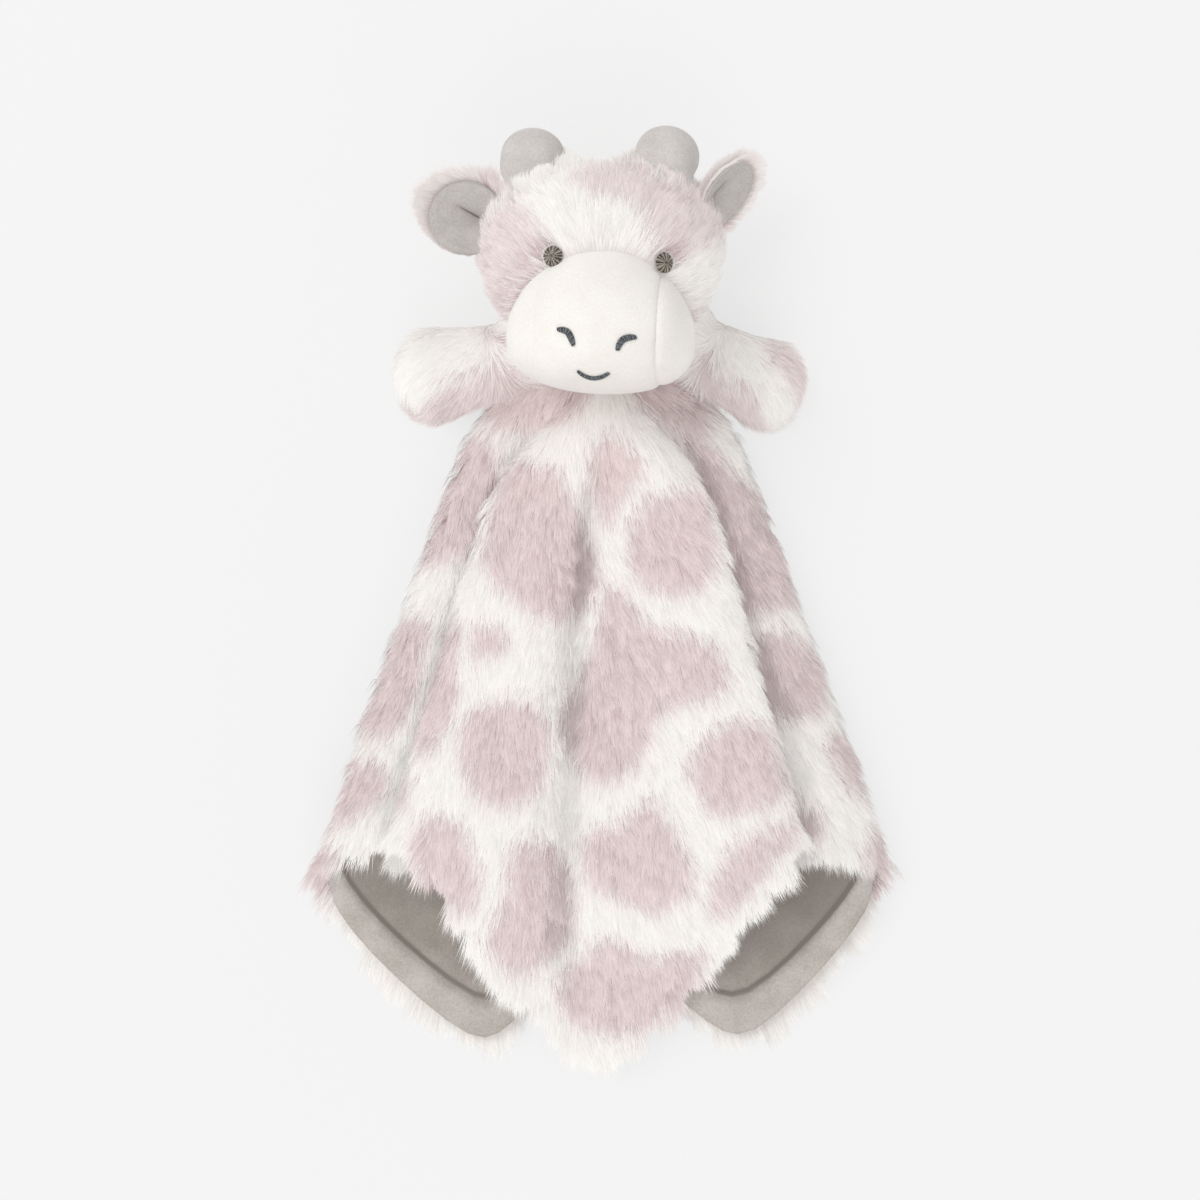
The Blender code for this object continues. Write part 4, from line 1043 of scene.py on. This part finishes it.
def muzzle_panel(name, first_side, last_side, node):
    """One panel of the muzzle as a shell. Rows climb from chin to crown; along a row a turn angle
    runs from one seam to the next on a rounded oval, |x|^2.3 + |z|^2.3 = 1, in steps that shorten
    towards the seams; the skin dips by a share of e^-distance towards each seam."""
    height = np.radians(np.linspace(-LAST_ROW, LAST_ROW, PANEL_ROWS))
    above = height > 0
    steep = np.sin(np.abs(height)) ** (2 / np.where(above, 2, CHIN_POWER))
    y = np.where(above, MUZZLE_RISE, -MUZZLE_DROP) * steep
    width, depth = muzzle_girth(y)
    seam_share = np.clip(GUSSET_SEAM / np.maximum(width, SMALLEST), 0, 1)
    seam_turn = np.arccos(seam_share ** (MUZZLE_ROUND_POWER / 2))
    seam_turn = np.maximum(seam_turn, math.radians(NARROWEST_GUSSET))
    ends = {"behind_right": -seam_turn, "right": seam_turn,
            "left": math.pi - seam_turn, "behind_left": math.pi + seam_turn}
    first, last = ends[first_side][:, None], ends[last_side][:, None]
    count = FRONT_COLUMNS if first_side == "right" else GUSSET_COLUMNS
    turn = first + (last - first) * (1 - np.cos(math.pi * np.linspace(0, 1, count)))[None, :] / 2
    x, z = (girth[:, None] * np.sign(wave) * np.abs(wave) ** (2 / MUZZLE_ROUND_POWER)
            for girth, wave in ((width, np.cos(turn)), (depth, np.sin(turn))))
    local = np.stack((x, np.broadcast_to(y[:, None], x.shape), z), -1)
    dip = 0 * x
    for side in {first_side, last_side} & set(SEAM_DEPTHS):
        from_seam = np.abs(x - (GUSSET_SEAM if side == "right" else -GUSSET_SEAM))
        dip = np.maximum(dip, SEAM_DEPTHS[side] * np.exp(-from_seam / SEAM_WIDTH))
    if first_side == "right":
        under = np.flatnonzero(height < math.radians(CHIN_TUCK))[::-1]
        local = np.concatenate((local[under] * (1, 1, -1), local))
        dip = np.concatenate((dip[under], dip))
    middle_pull = unit(local * (1 / MUZZLE_HALF_WIDTH, 0.7 / MUZZLE_RISE, 1 / MUZZLE_HALF_DEPTH))
    outer = local - middle_pull * dip[..., None]
    inner = outer - middle_pull * VELBOA
    rows = np.concatenate((outer, inner[:, ::-1]), axis=1) @ muzzle_turned.T + muzzle_centre
    panel = add_skin(name, rows[:, ::-1], ivory_velboa, "head")
    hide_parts(node)


muzzle_panel("muzzle_front", "right", "left", "muzzle_front_panel")
muzzle_panel("muzzle_gusset_right", "behind_right", "right", "muzzle_side_panel_right")
muzzle_panel("muzzle_gusset_left", "left", "behind_left", "muzzle_side_panel_left")

# The face is embroidered: round eyes in brown satin stitch beside the top of the muzzle, and two
# arched nostrils and a small mouth in slate satin stitch on its front.
EYE_DIAMETER = 0.0075
EYE_STEPS = 8
# The threads start at this share of the eye's radius, over a dome, and their ends make a wavy rim
EYE_START_SHARE = 0.04
EYE_WAVES = 5
EYE_WAVE_SHARE = 0.02
EYE_DOME = 0.94
EYE_SEAT = 0.55
EYE_TAPER = 0.7
EYE_RELIEF = 0.0016
EYE_THREADS = 36
EYE_THREAD_RADIUS = 0.00036
SATIN_RADIUS = 0.00026
SATIN_STEPS = 7
SATIN_SLANT = 0.35
# A bar narrows to this share of its width at its ends, along a sine to this power
SATIN_END_SHARE = 0.5
SATIN_END_POWER = 0.6
# How high a bar arches, in half widths, and how much thinner the ends of its threads are
SATIN_ARCH = 0.42
SATIN_TAPER = 0.25
SATIN_PITCH = 0.00036
FIBRE_SCALE = 1600
# Lines of the embroidery seen from above, in millimetres, and their widths
NOSTRILS = (
    ("left", ((-16.2, 97.6), (-13.6, 97.4), (-12.1, 96.3), (-11.1, 94.2), (-10.3, 91.8))),
    ("right", ((12.6, 94.8), (10.2, 94.7), (7.9, 94), (6.6, 92.3), (5.9, 90))),
)
NOSTRIL_WIDTH = 0.0026
MOUTH = ((-8.8, 82.5), (-6.6, 80.8), (-3.2, 79.8), (0.2, 80.4), (2.6, 81.8))
MOUTH_WIDTH = 0.0023


def satin_thread(name, lit, shaded):
    """Rayon embroidery thread: glossy filament. Each stitch has a tone of its own."""
    material, tree = new_material(name)
    fibres = add_noise(tree, add_node(tree, "TexCoord").outputs["Object"], FIBRE_SCALE)
    stitch = add_node(tree, "Attribute", {"attribute_name": "thread"})
    both = add_node(tree, "Math", {"operation": "ADD"}, {0: fibres, 1: stitch.outputs["Fac"]})
    share = add_node(tree, "MapRange", inputs={"Value": both.outputs[0], "From Min": 0.75, "From Max": 1.35})
    colour = add_mix(tree, share.outputs[0], shaded, lit)
    add_surface(tree, {"Base Color": colour, "Roughness": 0.45, "Sheen Weight": 0.2})
    return material


brown_thread = satin_thread("brown embroidery thread", "b3a898", "2c2824")
slate_thread = satin_thread("slate embroidery thread", "7a8184", "23272a")

for side, latitude, longitude in EYES:
    middle, normal = head_seat(latitude, longitude, CLEARANCE + EYE_RELIEF / 2)
    across = unit(np.cross((0, 1, 0), normal))
    up = np.cross(normal, across)
    turn = np.linspace(0, 2 * math.pi, EYE_THREADS, endpoint=False)[:, None]
    steps = np.linspace(EYE_START_SHARE, 1, EYE_STEPS)
    reach = EYE_DIAMETER / 2 * steps * (1 + EYE_WAVE_SHARE * np.sin(EYE_WAVES * turn))
    height = EYE_RELIEF * (np.sqrt(1 - EYE_DOME * steps**2) - EYE_SEAT)
    paths = (middle + reach[..., None] * (np.cos(turn)[..., None] * across + np.sin(turn)[..., None] * up)
             + height[:, None] * normal)
    radius = np.broadcast_to(EYE_THREAD_RADIUS * (1 - EYE_TAPER * (1 - steps)), reach.shape)
    eye = add_threads("embroidered_eye_" + side, paths, np.broadcast_to(normal, paths.shape), radius,
                      brown_thread, "head")
    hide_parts("eye_" + side)


def on_muzzle(place):
    """Points of the muzzle's front under places seen from above, in metres, and its outward
    directions there: the height is found again after each turn into the muzzle's own frame."""
    points = np.c_[place, np.full(len(place), muzzle_centre[2] + MUZZLE_HALF_DEPTH)]

    def height(x, y):
        width, depth = muzzle_girth(y)
        rest = np.maximum(1 - (np.abs(x) / width) ** MUZZLE_ROUND_POWER, 0)
        return depth * rest ** (1 / MUZZLE_ROUND_POWER)

    for _ in range(4):
        x, y, _ = muzzle_frame(points).T
        found = np.c_[x, y, height(x, y)] @ muzzle_turned.T + muzzle_centre
        points[:, 2] = found[:, 2]
    step = CLEARANCE
    slope_x = (height(x + step, y) - height(x - step, y)) / (2 * step)
    slope_y = (height(x, y + step) - height(x, y - step)) / (2 * step)
    return found, unit(np.c_[-slope_x, -slope_y, np.ones(len(x))]) @ muzzle_turned.T


def satin_line(name, places, width, node):
    """A bar of satin stitch: threads laid side by side across a smooth line through the places given,
    each arching over it, narrower towards the line's ends."""
    line = np.array(places) / 1000
    for _ in range(4):
        line = np.r_[line[:1], cut_corners(line[:-1], line[1:]), line[-1:]]
    knots = np.r_[0, np.cumsum(np.linalg.norm(np.diff(line, axis=0), axis=1))]
    share = np.linspace(0, 1, int(knots[-1] / SATIN_PITCH))
    centre = np.stack([np.interp(share * knots[-1], knots, line[:, k]) for k in (0, 1)], -1)
    points, out = on_muzzle(centre)
    along = unit(np.gradient(points, axis=0))
    across = unit(np.cross(along, out) + SATIN_SLANT * along)
    reach = np.linspace(-1, 1, SATIN_STEPS)[None, :, None]
    fullness = SATIN_END_SHARE + (1 - SATIN_END_SHARE) * np.sin(math.pi * share) ** SATIN_END_POWER
    half = (width / 2 * fullness)[:, None, None]
    arch = SATIN_RADIUS + half * SATIN_ARCH * (1 - reach**2)
    paths = points[:, None] + across[:, None] * reach * half + out[:, None] * arch
    radius = np.broadcast_to(SATIN_RADIUS * (1 - SATIN_TAPER * reach[..., 0] ** 2), paths.shape[:2])
    bar = add_threads(name, paths, np.broadcast_to(out[:, None], paths.shape), radius,
                      slate_thread, "head")
    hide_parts(node)


for side, places in NOSTRILS:
    satin_line("embroidered_nostril_" + side, places, NOSTRIL_WIDTH, "nostril_" + side)
satin_line("embroidered_mouth", MOUTH, MOUTH_WIDTH, "mouth")

# Two horns: stuffed knobs of grey velboa, gathered into the crown seam. Their domes are full and
# slightly dented where the filling is uneven.
HORN_REACH = 0.0118
HORN_WAIST = -28
HORN_DENT = 0.0008
HORN_TOP = 88
HORN_ROWS = 26
STUFFED_COLUMNS = 48
horn_velboa = short_pile("pale grey velboa", "d8d3d0", "c5bfbb", 0.011, 0.0008)


def axes(direction, facing):
    """Rows: an axis turned towards facing, a second across both, and the unit direction itself."""
    along = unit(np.array(direction, float))
    facing = np.array(facing, float)
    side = unit(facing - along * (facing @ along))
    return np.stack((side, np.cross(along, side), along))


for side, latitude, longitude, direction in HORNS:
    root, _ = head_seat(latitude, longitude, 0)
    turned = np.radians(np.linspace(HORN_TOP, HORN_WAIST, HORN_ROWS))
    stem = [[HORN_BASE_RADIUS, -HORN_BASE_RADIUS / 2], [HORN_BASE_RADIUS, -HORN_BASE_RADIUS]]
    profile = np.r_[np.c_[HORN_RADIUS * np.cos(turned), HORN_REACH + HORN_RADIUS * np.sin(turned)], stem]
    turn = np.linspace(0, 2 * math.pi, STUFFED_COLUMNS, endpoint=False)[None, :]
    out_of_axis, height = profile[:, :1], profile[:, 1:]
    dent = HORN_DENT * np.sin(3 * turn + height / HORN_REACH * 2) * np.sin(2 * turn + 1 + height / HORN_REACH)
    out_of_axis = out_of_axis * (1 - dent / HORN_RADIUS)
    local = np.stack((out_of_axis * np.cos(turn), out_of_axis * np.sin(turn), height + 0 * turn), -1)
    rows = root + local @ axes(direction, (0, 0, 1))
    horn = add_skin("horn_" + side, rows[:, ::-1], horn_velboa, "head")
    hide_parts("horn_cover_" + side, "horn_filling_" + side)

# Two ears, each a front of grey velboa and a back of plush, sewn round the rim, pinched along a
# crease at the root and sewn to the side of the head. The back's pile shows round the rim.
EAR_HALF_LENGTH = 0.0143
EAR_ROWS = 30
EAR_COLUMNS = 72
EAR_CUP = 0.003
EAR_CREASE_WIDTH = 0.0032
EAR_CLEARANCE = 0.00085
EAR_FOLD_WIDTH = 0.0012
EAR_FOLD_DEPTH = 0.0013
# The fold runs in from the root to this share of the half length, and fades out before the rim
FOLD_END_SHARE = 0.7
FOLD_FADE_SHARE = 0.15
RIM_RUN_SHARE = 0.14
SEAM_ROLL_SHARE = 0.09
EAR_PINK_SHARE = 0.35
EAR_STRANDS = 14000
RIM_START_SHARE = 0.88
RIM_DENSITY = 5
EAR_LIFT = 26
EAR_LENGTHS = (0.75, 1.1)
# The pile spreads from this share of the half length, leans along the ear and forwards, and turns
# outwards near the rim
EAR_SPREAD_SHARE = 0.3
EAR_LEAN = 0.35
EAR_FORWARD = 0.3
RIM_TURNED_SHARE = 0.9
RIM_TURN = 0.8
CROWNWARD_GAIN = 0.9
# How much thicker the velboa is inside the seam
EAR_PADDING = 0.5
EAR_TONE = 0.6
# How long the rim's pile stands out on the side of the crown, and on the side of the blanket
RIM_SHARES = {"left": (1.45, 0.35), "right": (1.0, 0.9)}
EAR_PILE_LENGTH = 0.0085
ear_velboa = short_pile("grey velboa", "c9c4c0", "b4aeaa", 0.011, 0.0008)

for side, latitude, longitude, direction, facing, half_width, crease_place, crease_lean in EARS:
    root, _ = head_seat(latitude, longitude, EAR_CLEARANCE)
    along = unit(np.array(direction))
    turned = axes(facing, along)
    share = np.linspace(FIRST_RING_SHARE, 1, EAR_ROWS)[:, None]
    turn = np.linspace(0, 2 * math.pi, EAR_COLUMNS, endpoint=False)
    x, y = EAR_HALF_LENGTH * share * np.cos(turn), half_width * share * np.sin(turn)
    beside = y - crease_place - crease_lean * x
    rootward = smoothstep((EAR_HALF_LENGTH - x) / (2 * EAR_HALF_LENGTH))
    crease = np.exp(-((beside / EAR_CREASE_WIDTH) ** 2)) * rootward
    fold = np.exp(-((beside / EAR_FOLD_WIDTH) ** 2)) * smoothstep(FOLD_END_SHARE - x / EAR_HALF_LENGTH)
    faded = fold * smoothstep((1 - share) / FOLD_FADE_SHARE)
    cup = EAR_CUP * share**2 - EAR_CUP * crease - EAR_FOLD_DEPTH * faded
    local = np.stack((x, y, cup), -1)
    middle = root + along * EAR_HALF_LENGTH + local @ turned
    front = -outward(middle)
    rim = smoothstep((share - 1) / RIM_RUN_SHARE + 1)
    thick = VELBOA * (1 + EAR_PADDING * (1 - rim)) - EAR_FOLD_DEPTH * fold
    faces = np.concatenate((middle + front * (CLEARANCE / 2 + thick)[..., None],
                            (middle + front * np.minimum(CLEARANCE / 2, thick)[..., None])[::-1]))
    ear_front = add_skin("ear_front_velboa_" + side, faces[:, ::-1], ear_velboa, "ear_" + side)
    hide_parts("ear_front_" + side)
    drawn_in = (1 - SEAM_ROLL_SHARE * rim)[..., None]
    seam_middle = root + along * EAR_HALF_LENGTH + (local * drawn_in) @ turned
    behind = seam_middle - front * (CLEARANCE / 2 + FUR_CLOTH)
    faces = np.concatenate((seam_middle - front * CLEARANCE / 2, behind[::-1]))
    ear_back = add_skin("ear_back_plush_" + side, faces[:, ::-1], plush_backing, "ear_" + side)
    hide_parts("ear_back_" + side)
    rim_wanted = 1 + RIM_DENSITY * (share[:-1] > RIM_START_SHARE)
    row, column = scatter(cell_areas(behind) * rim_wanted, EAR_STRANDS, random)
    roots, out = between(behind, row, column), -unit(between(front, row, column))
    centre = root + along * EAR_SPREAD_SHARE * EAR_HALF_LENGTH
    lay = unit(roots - centre) + EAR_LEAN * along + EAR_FORWARD * between(front, row, column)
    at_rim = (row / (EAR_ROWS - 1) > RIM_TURNED_SHARE)[:, None]
    out = unit(out + RIM_TURN * unit(roots - centre) * at_rim)
    flat = (roots - root) @ turned[:2].T
    crownward = smoothstep(0.5 + CROWNWARD_GAIN * unit(roots - centre)[:, 1])
    crown_share, blanket_share = RIM_SHARES[side]
    reach_share = blanket_share + (crown_share - blanket_share) * crownward
    length = EAR_PILE_LENGTH * reach_share * random.uniform(*EAR_LENGTHS, len(roots))
    spine, _ = comb(roots, out, lay, flat, length, EAR_LIFT, PULL, random)
    pink_share = pinkness(spine[:, SEEN_STATION, :2], HEAD_SPOTS, random.normal(0, SPOT_UNEVEN, len(roots)))
    pink_share = EAR_PINK_SHARE + (HEAD_PINK_SHARE - EAR_PINK_SHARE) * pink_share
    tone = np.clip(strand_tones(EAR_TONE, len(roots), random), -1, 1)
    add_pile("ear_pile_" + side, spine, out, pink_share, tone, "ear_" + side, random)

# Two arms: stuffed plush paws, sewn in between head and blanket. Their pile is brushed out to the
# tip of the paw.
SHOULDER_RADIUS = 0.0118
ARM_REACH = 0.0278
PAW_WAIST = -18
SHOULDER_WAIST = 22
PAW_TOP = 87
PAW_ROWS = 22
SHOULDER_END = -60
SHOULDER_ROWS = 14
ARM_STRANDS = 24000
ARM_LIFT = 34
ARM_SPLAY = 0.3
ARM_TONE = 0.5
ARM_NAP = (0, -1.2, 0)
ARM_PINK_SHARE = 0.85
ARM_PILE_LENGTH = 0.0108
# Over this share of the arm's length its pile is brushed back to the neck, and longer
TUCKED_SHARE = 0.42
TUCKED_EXTRA = 0.5
TUCKED_LAY = 1.4
# The pile is shorter and flatter at the root on the head's side, and longer on the blanket's side
HEAD_SIDE_LESS = 0.8
HEAD_SIDE_FLATTER = 0.7
BLANKET_SIDE_EXTRA = 0.35
ARMS = (("left", -39, -122, 196, 0.0145), ("right", -35, 122, -29, 0.0136))
ARM_SPOTS = (
    ((-55, 83), (-39, 87), (-27, 84), (-27, 73), (-37, 68), (-46, 63), (-61, 62), (-75, 65),
     (-76, 71), (-65, 74), (-60, 78)),
    ((-45, 101), (-34, 98), (-34, 94), (-42, 96)),
    ((62, 98), (76, 93), (84, 83), (82, 68), (76, 69), (72, 79), (64, 88)),
    ((34, 88), (42, 86), (53, 81), (61, 72), (61, 62), (51, 65), (42, 72), (35, 80)),
)

for side, latitude, longitude, heading, paw_radius in ARMS:
    centre, _ = head_seat(latitude, longitude, SHOULDER_RADIUS + CLEARANCE)
    heading = math.radians(heading)
    reach = np.array((ARM_REACH * math.cos(heading), ARM_REACH * math.sin(heading),
                      paw_radius - LYING_FLAT - centre[2]))
    paw = np.radians(np.linspace(PAW_TOP, PAW_WAIST, PAW_ROWS))
    shoulder = np.radians(np.linspace(SHOULDER_WAIST, SHOULDER_END, SHOULDER_ROWS))
    profile = np.r_[np.c_[paw_radius * np.cos(paw), np.linalg.norm(reach) + paw_radius * np.sin(paw)],
                    np.c_[SHOULDER_RADIUS * np.cos(shoulder), SHOULDER_RADIUS * np.sin(shoulder)]]
    turn = np.linspace(0, 2 * math.pi, STUFFED_COLUMNS, endpoint=False)[None, :]
    out_of_axis, height = profile[:, :1], profile[:, 1:]
    local = np.stack((out_of_axis * np.cos(turn), out_of_axis * np.sin(turn), height + 0 * turn), -1)
    rows = centre + local @ axes(reach, (0, 0, 1))
    arm_out = -outward(rows)
    rows[..., 2] = np.maximum(rows[..., 2], CLEARANCE)
    arm = add_skin("arm_" + side, rows[:, ::-1], plush_backing, "arm_" + side)
    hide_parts("arm_cover_" + side, "arm_filling_" + side)
    row, column = scatter(cell_areas(rows), ARM_STRANDS, random)
    roots, out = between(rows, row, column), unit(between(arm_out, row, column))
    along_arm = (roots - centre) @ unit(reach) / np.linalg.norm(reach)
    near_root, tucked = 1 - smoothstep(along_arm), 1 - smoothstep(along_arm / TUCKED_SHARE)
    lay = (unit(reach) + ARM_NAP) * (1 - tucked)[:, None] + ARM_SPLAY * out
    lay = lay - TUCKED_LAY * tucked[:, None] * unit(reach)
    flat = np.c_[column * paw_radius * 2 * math.pi / STUFFED_COLUMNS, (roots - centre) @ unit(reach)]
    headward, blanketward = np.clip(out[:, 1], 0, 1), np.clip(-out[:, 1], 0, 1)
    length = ARM_PILE_LENGTH * random.uniform(*STUFFED_LENGTHS, len(roots)) * (1 + TUCKED_EXTRA * tucked)
    length = length * (1 - HEAD_SIDE_LESS * near_root * headward + BLANKET_SIDE_EXTRA * blanketward)
    lift = ARM_LIFT * (1 - HEAD_SIDE_FLATTER * near_root * headward)
    spine, _ = comb(roots, out, lay, flat, length, lift, PULL, random)
    pink_share = pinkness(spine[:, SEEN_STATION, :2], ARM_SPOTS, random.normal(0, SPOT_UNEVEN, len(roots)))
    tone = np.clip(strand_tones(ARM_TONE, len(roots), random), -1, 1)
    add_pile("arm_pile_" + side, spine, out, ARM_PINK_SHARE * pink_share, tone, "arm_" + side, random)
